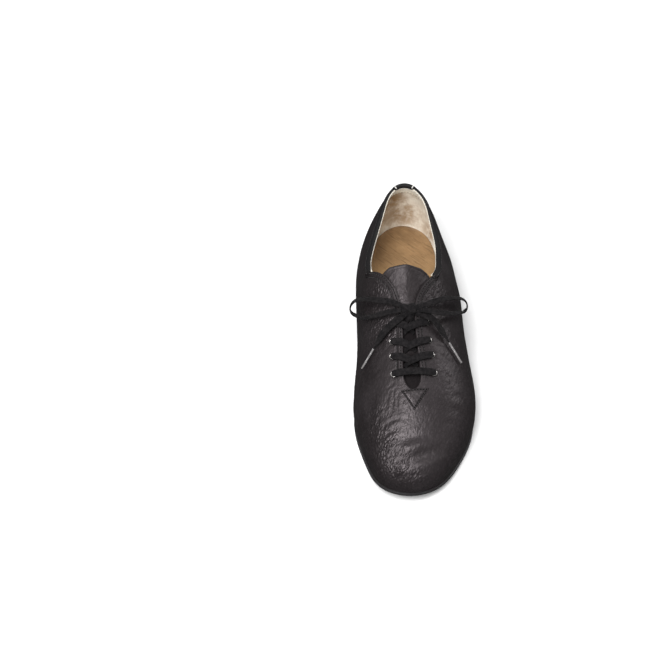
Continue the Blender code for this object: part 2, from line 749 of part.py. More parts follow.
def make_aglets(collection, finish):
    """Clear tubes on the lace's two ends, in line with them."""
    for label, route in (("medial", END_MEDIAL), ("lateral", END_LATERAL)):
        along, across, above, _ = route_values(route, 40)
        line = on_crown(along, across, above)
        end = Vector(line[-1])
        direction = (end - Vector(line[-6])).normalized()
        shape = bmesh.new()
        bmesh.ops.create_cone(
            shape,
            cap_ends=True,
            segments=10,
            radius1=AGLET_RADIUS,
            radius2=AGLET_RADIUS,
            depth=AGLET_LENGTH,
        )
        mesh = bpy.data.meshes.new("aglet_" + label)
        shape.to_mesh(mesh)
        shape.free()
        aglet = new_object("aglet_" + label, mesh, finish, collection)
        aglet.matrix_world = standing(end + direction * (GAP + AGLET_LENGTH / 2), direction)


def main():
    for old in list(bpy.data.objects):
        bpy.data.objects.remove(old, do_unlink=True)
    shoe = bpy.data.collections.new(COLLECTION)
    hidden = bpy.data.collections.new(COLLECTION + "_cutters")
    bpy.context.scene.collection.children.link(shoe)
    bpy.context.scene.collection.children.link(hidden)
    leather = material("black_leather", (0.022, 0.019, 0.020), 0.42)
    lining = material("tongue_leather", (0.026, 0.022, 0.023), 0.50)
    sole = material("sole_black", (0.016, 0.015, 0.016), 0.55)
    rubber = material("heel_black", (0.014, 0.013, 0.014), 0.60)
    tan = material("insole_tan", (0.42, 0.29, 0.18), 0.55)
    tape = material("binding_black", (0.012, 0.012, 0.013), 0.75)
    nickel = material("eyelet_nickel", (0.62, 0.60, 0.56), 0.30, 1.0)
    cotton = material("lace_black", (0.013, 0.013, 0.014), 0.85)
    plastic = material("aglet_clear", (0.62, 0.62, 0.60), 0.25)
    make_outsole(shoe, sole)
    make_heel(shoe, rubber)
    make_insole(shoe, tan)
    make_upper(shoe, make_hole_cutters(hidden), leather)
    make_tongue(shoe, lining)
    make_binding(shoe, tape)
    make_heel_tab(shoe, tape)
    make_eyelets(shoe, nickel)
    make_lace_bar(shoe, cotton)
    make_crossings(shoe, hidden, cotton)
    make_knot(shoe, cotton)
    make_bow(shoe, cotton)
    make_aglets(shoe, plastic)


main()
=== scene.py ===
"""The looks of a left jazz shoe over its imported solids: leather, lining, sole, eyelets and a tied flat lace.

The toe points to -Y, the medial side is -X and the floor is z = 0. All lengths are in metres.
"""

import math
from collections import namedtuple

import bmesh
import bpy
import numpy as np
from mathutils import Matrix, Vector


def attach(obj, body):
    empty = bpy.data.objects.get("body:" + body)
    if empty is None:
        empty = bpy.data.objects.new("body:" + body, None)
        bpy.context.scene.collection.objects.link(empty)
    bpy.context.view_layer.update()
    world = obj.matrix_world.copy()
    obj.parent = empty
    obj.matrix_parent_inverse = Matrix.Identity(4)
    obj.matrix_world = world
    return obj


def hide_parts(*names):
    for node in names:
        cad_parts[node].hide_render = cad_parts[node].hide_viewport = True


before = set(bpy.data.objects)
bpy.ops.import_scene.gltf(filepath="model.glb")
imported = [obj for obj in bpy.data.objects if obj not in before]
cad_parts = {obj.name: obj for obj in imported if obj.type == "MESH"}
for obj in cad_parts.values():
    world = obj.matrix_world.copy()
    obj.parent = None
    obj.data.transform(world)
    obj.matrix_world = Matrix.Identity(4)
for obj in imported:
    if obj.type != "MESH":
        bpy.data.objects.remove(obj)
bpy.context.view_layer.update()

# The shoe's driving dimensions.
LENGTH = 0.250
BALL_WIDTH = 0.088
INSTEP_HEIGHT = 0.088
WALL = 0.0020
SOLE_THICKNESS = 0.0032
SOLE_EDGE = 0.0010
HEEL_HEIGHT = 0.0130
HEEL_INSET = 0.0012
TOE_SPRING = 0.0090
INSOLE_THICKNESS = 0.0026
TAB_HALF_WIDTH = 0.0095
EYELET_RADIUS = 0.0025
EYELET_BORE = 0.0014
EYELET_FLANGE = 0.0005
EYELET_BARREL = 0.0017
LACE_WIDTH = 0.0056
LACE_THICKNESS = 0.0013
AGLET_RADIUS = 0.0008
AGLET_LENGTH = 0.0170
GAP = 0.0003
TONGUE_CLEARANCE = 0.0011
OUTER_LEATHER = 0.0011
MM = 0.001

SOLE_TOP = SOLE_THICKNESS + GAP
HEEL_SEAT = SOLE_TOP + HEEL_HEIGHT
HEEL_END = (LENGTH + SOLE_EDGE) / 2 + 2 * GAP
OFFSET = 0.0182
SIDES = (-1, 1)
FAR = 1e9


def table(kind, rows):
    return [kind(*row) for row in rows]


# Sections of the last, from the heel back to the toe tip, in shares of the dimensions above.
Section = namedtuple("Section", "along turn swing inner outer foot_in foot_out hip crest side top_in top_out")
SECTIONS = table(Section, [
    (0.130, 90, 0.020, 0.366, 0.366, 0.335, 0.335, 0.22, 1.060, 0.50, 0.60, 0.60),
    (0.132, 60, 0.020, 0.350, 0.350, 0.322, 0.324, 0.22, 0.990, 0.50, 0.52, 0.54),
    (0.138, 32, 0.018, 0.340, 0.332, 0.308, 0.306, 0.22, 0.890, 0.50, 0.42, 0.54),
    (0.165, 10, 0.010, 0.370, 0.350, 0.302, 0.302, 0.23, 0.810, 0.50, 0.42, 0.52),
    (0.230, 0, -0.006, 0.408, 0.414, 0.288, 0.322, 0.25, 0.790, 0.50, 0.50, 0.38),
    (0.310, 0, -0.030, 0.410, 0.454, 0.258, 0.364, 0.28, 0.860, 0.50, 0.60, 0.20),
    (0.390, 0, -0.055, 0.396, 0.494, 0.250, 0.402, 0.30, 0.915, 0.50, 0.68, 0.26),
    (0.470, 0, -0.060, 0.396, 0.504, 0.280, 0.440, 0.29, 0.838, 0.50, 0.62, 0.34),
    (0.550, 0, -0.060, 0.409, 0.520, 0.335, 0.474, 0.26, 0.758, 0.50, 0.54, 0.40),
    (0.630, 0, -0.058, 0.442, 0.536, 0.401, 0.507, 0.24, 0.684, 0.50, 0.50, 0.44),
    (0.710, 0, -0.058, 0.466, 0.540, 0.448, 0.518, 0.24, 0.610, 0.52, 0.54, 0.50),
    (0.790, 0, -0.060, 0.447, 0.500, 0.437, 0.488, 0.25, 0.540, 0.55, 0.58, 0.58),
    (0.865, 0, -0.070, 0.386, 0.413, 0.382, 0.407, 0.27, 0.462, 0.58, 0.62, 0.62),
    (0.930, 0, -0.085, 0.315, 0.312, 0.313, 0.309, 0.30, 0.390, 0.60, 0.64, 0.64),
    (0.978, 0, -0.095, 0.203, 0.190, 0.201, 0.188, 0.34, 0.300, 0.60, 0.64, 0.64),
    (1.000, 0, -0.100, 0.000, 0.000, 0.000, 0.000, 0.40, 0.150, 0.60, 0.62, 0.62),
])
LEVEL_START = {name: name != "turn" for name in Section._fields}
LEVEL_END = {name: name in ("along", "swing", "hip", "side", "top_in", "top_out") for name in Section._fields}
TIP = len(SECTIONS) - 1
HIP_AT = 0.25

Topline = namedtuple("Topline", "section height")
TOPLINE = table(Topline, [
    (0.0, 0.768),
    (1.0, 0.756),
    (2.0, 0.714),
    (3.0, 0.664),
    (4.0, 0.637),
    (5.0, 0.685),
])

Facing = namedtuple("Facing", "medial_along medial lateral_along lateral")
FACINGS = table(Facing, [
    (0.368, -0.345, 0.400, 0.185),
    (0.412, -0.235, 0.438, 0.100),
    (0.462, -0.145, 0.484, 0.025),
    (0.530, -0.108, 0.530, -0.004),
    (0.620, -0.112, 0.620, -0.004),
    (0.710, -0.126, 0.710, 0.010),
])
SLIT_END = 0.752

Pair = namedtuple("Pair", "along medial lateral")
PAIRS = table(Pair, [
    (0.704, -0.204, 0.119),
    (0.652, -0.204, 0.110),
    (0.609, -0.197, 0.096),
    (0.557, -0.188, 0.088),
])

TongueRow = namedtuple("TongueRow", "along middle half rise edge")
TONGUE = table(TongueRow, [
    (0.790, -0.058, 0.130, 0.000, 0.000),
    (0.720, -0.056, 0.185, 0.000, 0.000),
    (0.620, -0.056, 0.200, 0.000, 0.000),
    (0.530, -0.056, 0.205, 0.000, 0.000),
    (0.470, -0.058, 0.208, 0.001, 0.000),
    (0.435, -0.052, 0.222, 0.006, 0.000),
    (0.415, -0.048, 0.232, 0.020, 0.000),
    (0.402, -0.048, 0.214, 0.032, 0.012),
    (0.394, -0.048, 0.152, 0.037, 0.028),
])

HeelLayer = namedtuple("HeelLayer", "depth breast inset")
HEEL_LAYERS = table(HeelLayer, [
    (0.00, 0.285, 0.0),
    (0.30, 0.240, 0.5),
    (0.65, 0.212, 0.9),
    (1.00, 0.200, 1.0),
])

# The lace's middle line in the bow and its ends: shares along and across, height above the upper, and lean.
RoutePoint = namedtuple("RoutePoint", "along across above lean")
KNOT = RoutePoint(0.530, -0.035, 0.0052, 0)
LOOP_MEDIAL = table(RoutePoint, [
    (0.522, -0.099, 0.0060, 10),
    (0.507, -0.161, 0.0070, 20),
    (0.490, -0.239, 0.0078, 38),
    (0.466, -0.325, 0.0084, 58),
    (0.448, -0.388, 0.0086, 75),
    (0.444, -0.423, 0.0082, 80),
    (0.466, -0.419, 0.0072, 75),
    (0.504, -0.364, 0.0060, 62),
    (0.524, -0.281, 0.0056, 42),
    (0.530, -0.196, 0.0056, 22),
    (0.534, -0.106, 0.0058, 10),
])
LOOP_LATERAL = table(RoutePoint, [
    (0.520, 0.032, 0.0060, -10),
    (0.507, 0.097, 0.0070, -20),
    (0.487, 0.178, 0.0080, -38),
    (0.465, 0.269, 0.0084, -58),
    (0.448, 0.348, 0.0084, -75),
    (0.452, 0.381, 0.0082, -80),
    (0.478, 0.361, 0.0076, -75),
    (0.510, 0.278, 0.0072, -60),
    (0.528, 0.186, 0.0074, -36),
    (0.533, 0.099, 0.0070, -14),
    (0.533, 0.035, 0.0063, -5),
])
END_MEDIAL = table(RoutePoint, [
    (0.546, -0.094, 0.0032, 0),
    (0.558, -0.150, 0.0038, 0),
    (0.570, -0.200, 0.0040, 0),
    (0.584, -0.255, 0.0034, 5),
    (0.598, -0.300, 0.0026, 10),
    (0.608, -0.330, 0.0022, 10),
])
END_LATERAL = table(RoutePoint, [
    (0.541, 0.030, 0.0038, 0),
    (0.548, 0.100, 0.0046, 0),
    (0.560, 0.150, 0.0040, 0),
    (0.576, 0.195, 0.0030, -5),
    (0.590, 0.230, 0.0024, -10),
    (0.600, 0.252, 0.0022, -10),
])

# Creases and low ridges of the worn leather: places along and across, then the height in
# millimetres (a trough is below 0) and how wide it is.
Crease = namedtuple("Crease", "places height width")
CREASES = table(Crease, [
    ([(0.948, -0.170), (0.944, -0.100), (0.936, -0.020), (0.924, 0.070), (0.910, 0.160)], -0.95, 3.4),
    ([(0.918, -0.200), (0.912, -0.130), (0.904, -0.050), (0.892, 0.030)], 0.65, 3.4),
    ([(0.958, -0.235), (0.965, -0.195), (0.974, -0.160)], 0.50, 3.0),
    ([(0.868, -0.330), (0.862, -0.255), (0.853, -0.175)], -0.34, 1.4),
    ([(0.850, -0.375), (0.842, -0.300), (0.832, -0.215), (0.836, -0.120)], -0.30, 1.3),
    ([(0.828, -0.400), (0.819, -0.340), (0.812, -0.275)], -0.28, 1.2),
    ([(0.806, -0.425), (0.797, -0.355), (0.793, -0.290)], -0.24, 1.3),
    ([(0.743, -0.205), (0.780, -0.228), (0.818, -0.239)], -0.26, 0.9),
    ([(0.747, -0.178), (0.786, -0.192), (0.825, -0.193)], -0.22, 0.8),
    ([(0.752, -0.225), (0.786, -0.252), (0.810, -0.268)], 0.24, 1.2),
    ([(0.735, -0.300), (0.775, -0.315), (0.825, -0.300)], 0.45, 4.5),
    ([(0.740, -0.405), (0.780, -0.408), (0.815, -0.392)], -0.40, 3.5),
    ([(0.943, -0.352), (0.932, -0.310), (0.921, -0.262)], -0.26, 0.9),
    ([(0.955, -0.328), (0.944, -0.285), (0.934, -0.240)], -0.24, 0.9),
    ([(0.930, -0.368), (0.918, -0.325), (0.908, -0.285)], -0.24, 0.9),
    ([(0.912, -0.385), (0.901, -0.340), (0.892, -0.300)], -0.22, 0.9),
    ([(0.966, -0.290), (0.957, -0.250), (0.948, -0.212)], -0.22, 0.8),
    ([(0.988, -0.204), (0.984, -0.170), (0.978, -0.140)], -0.22, 0.8),
    ([(0.984, -0.232), (0.978, -0.200), (0.971, -0.168)], -0.20, 0.8),
    ([(0.846, 0.330), (0.838, 0.250), (0.842, 0.160)], -0.22, 2.0),
    ([(0.806, 0.385), (0.796, 0.300), (0.800, 0.210)], -0.26, 2.4),
    ([(0.760, 0.430), (0.752, 0.340), (0.758, 0.240)], -0.22, 2.6),
    ([(0.488, -0.250), (0.492, -0.305), (0.500, -0.350)], -0.20, 0.9),
    ([(0.505, -0.232), (0.509, -0.300), (0.516, -0.360)], -0.26, 0.9),
    ([(0.521, -0.228), (0.527, -0.290), (0.533, -0.345)], -0.22, 0.8),
    ([(0.538, -0.240), (0.542, -0.300), (0.551, -0.366)], -0.28, 0.9),
    ([(0.556, -0.252), (0.562, -0.305), (0.566, -0.352)], -0.24, 0.9),
    ([(0.572, -0.262), (0.580, -0.312), (0.584, -0.360)], -0.26, 0.9),
    ([(0.591, -0.262), (0.597, -0.318), (0.604, -0.362)], -0.20, 0.9),
    ([(0.628, -0.268), (0.634, -0.318), (0.645, -0.372)], -0.22, 1.2),
    ([(0.668, -0.272), (0.676, -0.330), (0.690, -0.385)], -0.24, 1.4),
    ([(0.412, -0.330), (0.432, -0.292), (0.452, -0.252)], -0.20, 1.0),
    ([(0.426, -0.348), (0.448, -0.306), (0.470, -0.262)], -0.22, 1.0),
    ([(0.470, 0.140), (0.476, 0.200), (0.486, 0.262)], -0.22, 1.1),
    ([(0.452, 0.165), (0.456, 0.225), (0.462, 0.290)], -0.20, 1.2),
    ([(0.592, 0.160), (0.598, 0.215), (0.606, 0.280)], -0.18, 1.2),
    ([(0.640, 0.170), (0.650, 0.230), (0.668, 0.300)], -0.20, 1.3),
    ([(0.690, 0.185), (0.705, 0.240), (0.728, 0.300)], -0.22, 1.4),
    ([(0.718, 0.120), (0.736, 0.150), (0.752, 0.186)], -0.24, 0.9),
    ([(0.724, -0.200), (0.734, -0.232), (0.742, -0.268)], -0.24, 0.9),
])

# Side creases above the medial arch and over the lateral quarter: section, t, then as above.
SIDE_CREASES = [
    (-1, [(7.2, 0.22), (8.2, 0.20), (9.4, 0.24), (10.4, 0.32)], -0.45, 2.4),
    (-1, [(7.8, 0.34), (8.8, 0.35), (9.8, 0.42)], -0.32, 1.9),
    (-1, [(5.4, 0.12), (6.4, 0.13), (7.6, 0.12)], -0.30, 1.8),
    (-1, [(9.6, 0.14), (10.6, 0.16), (11.5, 0.24)], -0.34, 1.8),
    (-1, [(1.6, 0.30), (2.8, 0.26), (3.8, 0.30)], -0.24, 1.8),
    (1, [(7.4, 0.20), (8.6, 0.18), (9.8, 0.22)], -0.34, 2.2),
    (1, [(8.8, 0.34), (9.8, 0.36), (10.8, 0.44)], -0.26, 2.0),
    (1, [(9.9, 0.12), (10.9, 0.15), (11.8, 0.24)], -0.30, 1.8),
    (1, [(1.8, 0.28), (2.9, 0.25), (3.9, 0.29)], -0.22, 1.8),
    (1, [(4.8, 0.36), (5.8, 0.34), (6.8, 0.40)], -0.20, 2.4),
]

# Where the leather's grain stands out most: centre along and across, reach in millimetres, and amount.
Patch = namedtuple("Patch", "along across reach amount")
GRAIN_PATCHES = table(Patch, [
    (0.850, -0.360, 16, 0.75),
    (0.905, -0.300, 14, 0.90),
    (0.945, -0.240, 13, 1.00),
    (0.800, -0.370, 13, 0.60),
    (0.540, -0.310, 18, 1.00),
    (0.440, -0.270, 16, 0.60),
    (0.460, 0.160, 14, 0.60),
    (0.720, 0.150, 14, 0.45),
    (0.985, -0.120, 14, 0.70),
])

# Darkened places of the lining, partly real soil at the heel's back and partly painted shade low down near the
# insole: centre and reach in metres, and amount.
SOIL_AND_SHADE_SPOTS = [
    ((-0.006, 0.121, 0.050), 0.020, 1.00),
    ((-0.020, 0.112, 0.036), 0.020, 1.00),
    ((0.004, 0.121, 0.032), 0.020, 1.00),
    ((-0.028, 0.085, 0.030), 0.018, 0.80),
    ((0.026, 0.110, 0.024), 0.013, 0.80),
]

# The leather triangle's corners: places along and across.
TRIANGLE = [(0.754, -0.163), (0.750, 0.072), (0.814, -0.060)]


def unit(vectors):
    vectors = np.asarray(vectors, float)
    return vectors / np.maximum(np.linalg.norm(vectors, axis=-1, keepdims=True), 1e-12)


def bell(value, middle, width):
    return np.exp(-(((value - middle) / width) ** 2))


def run_of(line):
    """The distance along a line of points to each of them."""
    return np.concatenate([[0], np.cumsum(np.linalg.norm(np.diff(line, axis=0), axis=1))])


def read_at(line, run, at):
    """Points of a line at these distances along it."""
    return np.stack([np.interp(at, run, line[:, i]) for i in range(3)], -1)


def spline(values, at, level_start=True, level_end=False):
    """Reads a smooth cubic spline through values at 0, 1, 2 and so on."""
    y = np.asarray(values, float)
    count = len(y)
    system = np.zeros((count, count))
    right = np.zeros(count)
    for i in range(1, count - 1):
        system[i, i - 1 : i + 2] = (1, 4, 1)
        right[i] = 3 * (y[i + 1] - y[i - 1])
    if level_start:
        system[0, 0] = 1
    else:
        system[0, :2] = (2, 1)
        right[0] = 3 * (y[1] - y[0])
    if level_end:
        system[-1, -1] = 1
    else:
        system[-1, -2:] = (1, 2)
        right[-1] = 3 * (y[-1] - y[-2])
    slope = np.linalg.solve(system, right)
    at = np.clip(np.asarray(at, float), 0, count - 1)
    i = np.minimum(at.astype(int), count - 2)
    f = at - i
    step = y[i + 1] - y[i]
    rest = 3 * step - 2 * slope[i] - slope[i + 1] + f * (slope[i] + slope[i + 1] - 2 * step)
    return y[i] + f * (slope[i] + f * rest)


def smooth_step(value, start, end):
    share = np.clip((value - start) / (end - start), 0, 1)
    return share * share * (3 - 2 * share)


def bezier(p0, p1, p2, p3, t):
    s = 1 - t
    return s**3 * p0 + 3 * s * s * t * p1 + 3 * s * t * t * p2 + t**3 * p3


def section_value(name, q):
    return spline([getattr(row, name) for row in SECTIONS], q, LEVEL_START[name], LEVEL_END[name])


# The sections in front of the heel's round, and where they lie.
CROWN_START = 4
CROWN_ROWS = np.linspace(CROWN_START, TIP, 400)
CROWN_ALONG = section_value("along", CROWN_ROWS)


def seat_height(distance):
    """Height of the feather line at this distance from the heel back."""
    raised = 1 - smooth_step(distance, 0.26 * LENGTH, 0.60 * LENGTH)
    spring = np.clip((distance - 0.74 * LENGTH) / (0.26 * LENGTH), 0, None) ** 2
    return SOLE_TOP + (HEEL_SEAT - SOLE_TOP) * raised + TOE_SPRING * spring


def last_point(side, q, t):
    """A point of the upper's outer form: side -1 medial or 1 lateral, section q, t from the feather line at 0
    over the widest point at HIP_AT to the crest at 1."""
    side, q, t = np.broadcast_arrays(*(np.asarray(value, float) for value in (side, q, t)))
    turn = np.radians(section_value("turn", q))
    medial = side < 0
    wide = np.where(medial, section_value("inner", q), section_value("outer", q)) * BALL_WIDTH
    foot = np.where(medial, section_value("foot_in", q), section_value("foot_out", q)) * BALL_WIDTH
    top = np.where(medial, section_value("top_in", q), section_value("top_out", q))
    crest = section_value("crest", q) * INSTEP_HEIGHT
    along = section_value("along", q) * LENGTH
    low = seat_height(along - foot * np.sin(turn))
    hip = low + (crest - low) * section_value("hip", q)
    t_low = np.clip(t / HIP_AT, 0, 1)
    t_high = np.clip((t - HIP_AT) / (1 - HIP_AT), 0, 1)
    below = t < HIP_AT
    flare = foot + 0.75 * (wide - foot)
    radius = np.where(
        below,
        bezier(foot, flare, wide, wide, t_low),
        bezier(wide, wide, top * wide, 0 * wide, t_high),
    )
    shoulder = hip + section_value("side", q) * (crest - hip)
    height = np.where(
        below,
        bezier(low, low + 0.12 * (hip - low), low + 0.5 * (hip - low), hip, t_low),
        bezier(hip, shoulder, crest, crest, t_high),
    )
    x = (section_value("swing", q) + OFFSET) * BALL_WIDTH + side * radius * np.cos(turn)
    y = HEEL_END - along + radius * np.sin(turn)
    return np.stack([x, y, height], -1)


def last_normal(side, q, t):
    """The direction out of the upper's form there."""
    step = 1e-3
    q0 = np.clip(np.asarray(q, float) - step, 0, TIP)
    q1 = np.clip(np.asarray(q, float) + step, 0, TIP)
    t0 = np.clip(np.asarray(t, float) - step, 0, 1)
    t1 = np.clip(np.asarray(t, float) + step, 0, 1)
    across = last_point(side, q, t1) - last_point(side, q, t0)
    forward = last_point(side, q1, t) - last_point(side, q0, t)
    return unit(np.cross(across, forward) * np.asarray(side, float)[..., None])


def crown_place(along, across):
    """side, q and t of the point above the hip at these shares of LENGTH and BALL_WIDTH."""
    along, across = np.broadcast_arrays(np.asarray(along, float), np.asarray(across, float))
    q = np.interp(along, CROWN_ALONG, CROWN_ROWS)
    offset = across - section_value("swing", q)
    side = np.where(offset < 0, -1.0, 1.0)
    steps = np.linspace(HIP_AT, 1, 61)
    profile = last_point(side[..., None], q[..., None], steps)[..., 0]
    reach = np.abs(profile / BALL_WIDTH - OFFSET - section_value("swing", q)[..., None])
    want = np.abs(offset)[..., None]
    index = np.clip((reach > want).sum(-1), 1, len(steps) - 1)
    before = np.take_along_axis(reach, index[..., None] - 1, -1)[..., 0]
    after = np.take_along_axis(reach, index[..., None], -1)[..., 0]
    share = np.clip((before - want[..., 0]) / np.maximum(before - after, 1e-9), 0, 1)
    return side, q, steps[index - 1] + share * (steps[1] - steps[0])


def on_crown(along, across, above=0.0):
    """Points at a height above the upper's form, measured square to it."""
    side, q, t = crown_place(along, across)
    return last_point(side, q, t) + last_normal(side, q, t) * np.asarray(above, float)[..., None]


def crown_normal(along, across):
    return last_normal(*crown_place(along, across))


def crown_shares(points):
    """The shares along and across that belong to points on the crown."""
    points = np.asarray(points)
    return (HEEL_END - points[..., 1]) / LENGTH, points[..., 0] / BALL_WIDTH - OFFSET


def facing_line(side):
    if side < 0:
        return [row.medial_along for row in FACINGS], [row.medial for row in FACINGS]
    return [row.lateral_along for row in FACINGS], [row.lateral for row in FACINGS]


def section_at(along):
    return float(np.interp(along, CROWN_ALONG, CROWN_ROWS))


def corner_section(side):
    return section_at(facing_line(side)[0][0])


def edge_share(side, q):
    """t at which the upper ends on its topline, on its facing, or at the crest."""
    corner = corner_section(side)
    places, across = facing_line(side)
    steps = np.linspace(HIP_AT, 1, 121)
    if q <= corner:
        at_corner = crown_place(places[0], across[0])[2]
        corner_height = float(last_point(side, corner, at_corner)[2])
        rows = [row.section for row in TOPLINE] + [corner]
        heights = [row.height * INSTEP_HEIGHT for row in TOPLINE] + [corner_height]
        height = spline(heights, np.interp(q, rows, range(len(rows))), True, False)
        return float(np.interp(height, last_point(side, q, steps)[:, 2], steps))
    along = float(section_value("along", q))
    if along >= SLIT_END:
        return 1.0
    if along > places[-1]:
        middle = (FACINGS[-1].medial + FACINGS[-1].lateral) / 2
        bow = (along - places[-1]) / (SLIT_END - places[-1])
        edge = middle + (across[-1] - middle) * math.sqrt(max(1 - bow * bow, 0))
    else:
        edge = float(spline(across, np.interp(along, places, range(len(places))), False, True))
    t = crown_place(along, edge)[2]
    own_side = (edge - float(section_value("swing", q))) * side > 0
    return float(t) if own_side else 1.0


def foot_outline(sections, out, flare=0.0):
    """The feather line of both sides from heel back to toe tip, moved outward by out and by a share of the
    wall's flare."""
    count = len(sections)
    medial = last_point(-1, sections, 0.0)
    lateral = last_point(1, sections, 0.0)
    loop = np.concatenate([medial, lateral[-2:0:-1]])[:, :2]
    run = np.roll(loop, -1, axis=0) - np.roll(loop, 1, axis=0)
    outward = unit(np.stack([run[:, 1], -run[:, 0]], -1))
    medial_flare = section_value("inner", sections) - section_value("foot_in", sections)
    lateral_flare = section_value("outer", sections) - section_value("foot_out", sections)
    flares = np.concatenate([medial_flare, lateral_flare[-2:0:-1]])[:, None] * BALL_WIDTH
    moved = loop + outward * (out + flare * flares)
    first = moved[:count]
    second = np.concatenate([moved[:1], moved[: count - 1 : -1], moved[count - 1 : count]])
    return first, second


# Meshes. Points closer than these distances become one.

SHELL_MERGE = 2e-6
RIM_MERGE = 4e-6
NO_LENGTH = 1e-7


def mesh_object(name, verts, faces, smooth=True, sharp=None):
    mesh = bpy.data.meshes.new(name)
    mesh.from_pydata([tuple(v) for v in verts], [], [tuple(f) for f in faces])
    mesh.validate()
    mesh.update()
    if smooth:
        mesh.shade_smooth()
        if sharp:
            mesh.set_sharp_from_angle(angle=math.radians(sharp))
    made = bpy.data.objects.new(name, mesh)
    bpy.context.scene.collection.objects.link(made)
    return made


def outward(made):
    """Turns a closed mesh's faces outward."""
    shape = bmesh.new()
    shape.from_mesh(made.data)
    bmesh.ops.recalc_face_normals(shape, faces=shape.faces)
    shape.to_mesh(made.data)
    shape.free()
    return made


def dress(made, finish, replaces=()):
    """Gives a piece its material and slot, and lets it ride on the shoe."""
    made.data.materials.clear()
    made.data.materials.append(finish)
    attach(made, "root")
    if replaces:
        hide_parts(*replaces)
    return made


def joined(name, parts):
    """One mesh of several (verts, faces) lists."""
    verts, faces = [], []
    for part_verts, part_faces in parts:
        start = len(verts)
        verts.extend(part_verts)
        faces.extend([tuple(start + i for i in face) for face in part_faces])
    return mesh_object(name, verts, faces)


def swept(rings, closed=False, capped=True):
    """(verts, faces) of a tube through rings of as many points each."""
    rings = np.asarray(rings)
    count, around = rings.shape[:2]
    verts = [tuple(p) for p in rings.reshape(-1, 3)]
    faces = []
    for i in range(count if closed else count - 1):
        following = (i + 1) % count
        for j in range(around):
            k = (j + 1) % around
            faces.append((i * around + j, i * around + k, following * around + k, following * around + j))
    if capped and not closed:
        for i, turned in ((0, True), (count - 1, False)):
            centre = len(verts)
            verts.append(tuple(rings[i].mean(0)))
            for j in range(around):
                k = (j + 1) % around
                face = (centre, i * around + j, i * around + k)
                faces.append(face[::-1] if turned else face)
    return verts, faces


def resample(points, spacing, closed=False):
    """Points at even distances along a line through the given ones."""
    points = np.asarray(points, float)
    if closed:
        points = np.vstack([points, points[:1]])
    run = run_of(points)
    count = max(int(round(run[-1] / spacing)), 2)
    at = np.linspace(0, run[-1], count + 1)
    if closed:
        at = at[:-1]
    return read_at(points, run, at)


def through(points, per_span=10):
    """A smooth line through a few 3-D points."""
    points = np.asarray(points, float)
    at = np.linspace(0, len(points) - 1, (len(points) - 1) * per_span + 1)
    return np.stack([spline(points[:, i], at, False, False) for i in range(points.shape[1])], -1)


def carried(path, first):
    """A direction square to the path, carried along it with as little turning as can be."""
    tangents = unit(np.gradient(path, axis=0))
    vector = np.asarray(first, float)
    out = []
    for tangent in tangents:
        vector = vector - tangent * (vector @ tangent)
        vector = vector / np.linalg.norm(vector)
        out.append(vector)
    return np.array(out)


LACE_POINTS = 16


def band_outline():
    """Points round a flat band with rounded sides, each way from -1 to 1."""
    angle = np.linspace(0, 2 * math.pi, LACE_POINTS, endpoint=False)
    c, s = np.cos(angle), np.sin(angle)
    x = np.sign(c) * np.abs(c) ** 0.75
    y = np.sign(s) * np.abs(s) ** 0.70
    return x[None, :, None], y[None, :, None]


def lace_rings(path, flat, width, thickness):
    """Rings of a flat lace: a rounded band, a little thicker at its selvedges."""
    path = np.asarray(path)
    tangents = unit(np.gradient(path, axis=0))
    flat = np.asarray(flat) - tangents * (np.asarray(flat) * tangents).sum(-1, keepdims=True)
    flat = unit(flat)
    square = np.cross(tangents, flat)
    width = np.broadcast_to(width, len(path))[:, None, None]
    thickness = np.broadcast_to(thickness, len(path))[:, None, None]
    x, y = band_outline()
    y = y * (0.80 + 0.20 * x * x)
    return path[:, None] + flat[:, None] * x * width / 2 + square[:, None] * y * thickness / 2


# Materials.


def add(tree, kind, inputs=None, **settings):
    made = tree.nodes.new(kind)
    for key, value in settings.items():
        setattr(made, key, value)
    for key, value in (inputs or {}).items():
        if isinstance(value, bpy.types.NodeSocket):
            tree.links.new(value, made.inputs[key])
        else:
            made.inputs[key].default_value = value
    return made


def finish_of(name, colour, roughness, metallic=0.0, **more):
    made = bpy.data.materials.new(name)
    made.use_nodes = True
    tree = made.node_tree
    surface = tree.nodes["Principled BSDF"]
    surface.inputs["Base Color"].default_value = (*colour, 1)
    surface.inputs["Roughness"].default_value = roughness
    surface.inputs["Metallic"].default_value = metallic
    for key, value in more.items():
        surface.inputs[key].default_value = value
    made.diffuse_color = (*colour, 1)
    place = add(tree, "ShaderNodeTexCoord").outputs["Object"]
    return made, tree, surface, place


def link(tree, surface, colour=None, roughness=None, normal=None):
    for socket, value in (("Base Color", colour), ("Roughness", roughness), ("Normal", normal)):
        if value is not None:
            tree.links.new(value, surface.inputs[socket])


def times(colour, share):
    return tuple(share * c for c in colour)


def point_value(tree, name):
    return add(tree, "ShaderNodeAttribute", attribute_name=name).outputs["Fac"]


def turned_by(tree, place, angle):
    return add(tree, "ShaderNodeMapping", {"Vector": place, "Rotation": (0, 0, angle)}).outputs["Vector"]


def scaled(tree, place, scale):
    return add(tree, "ShaderNodeMapping", {"Vector": place, "Scale": scale}).outputs["Vector"]


def noise(tree, place, scale, detail=3.0, roughness=0.55):
    settings = {"Vector": place, "Scale": scale, "Detail": detail, "Roughness": roughness}
    return add(tree, "ShaderNodeTexNoise", settings).outputs["Fac"]


def ranged(tree, value, low, high, to_low, to_high):
    settings = {"Value": value, "From Min": low, "From Max": high, "To Min": to_low, "To Max": to_high}
    return add(tree, "ShaderNodeMapRange", settings, interpolation_type="SMOOTHSTEP").outputs["Result"]


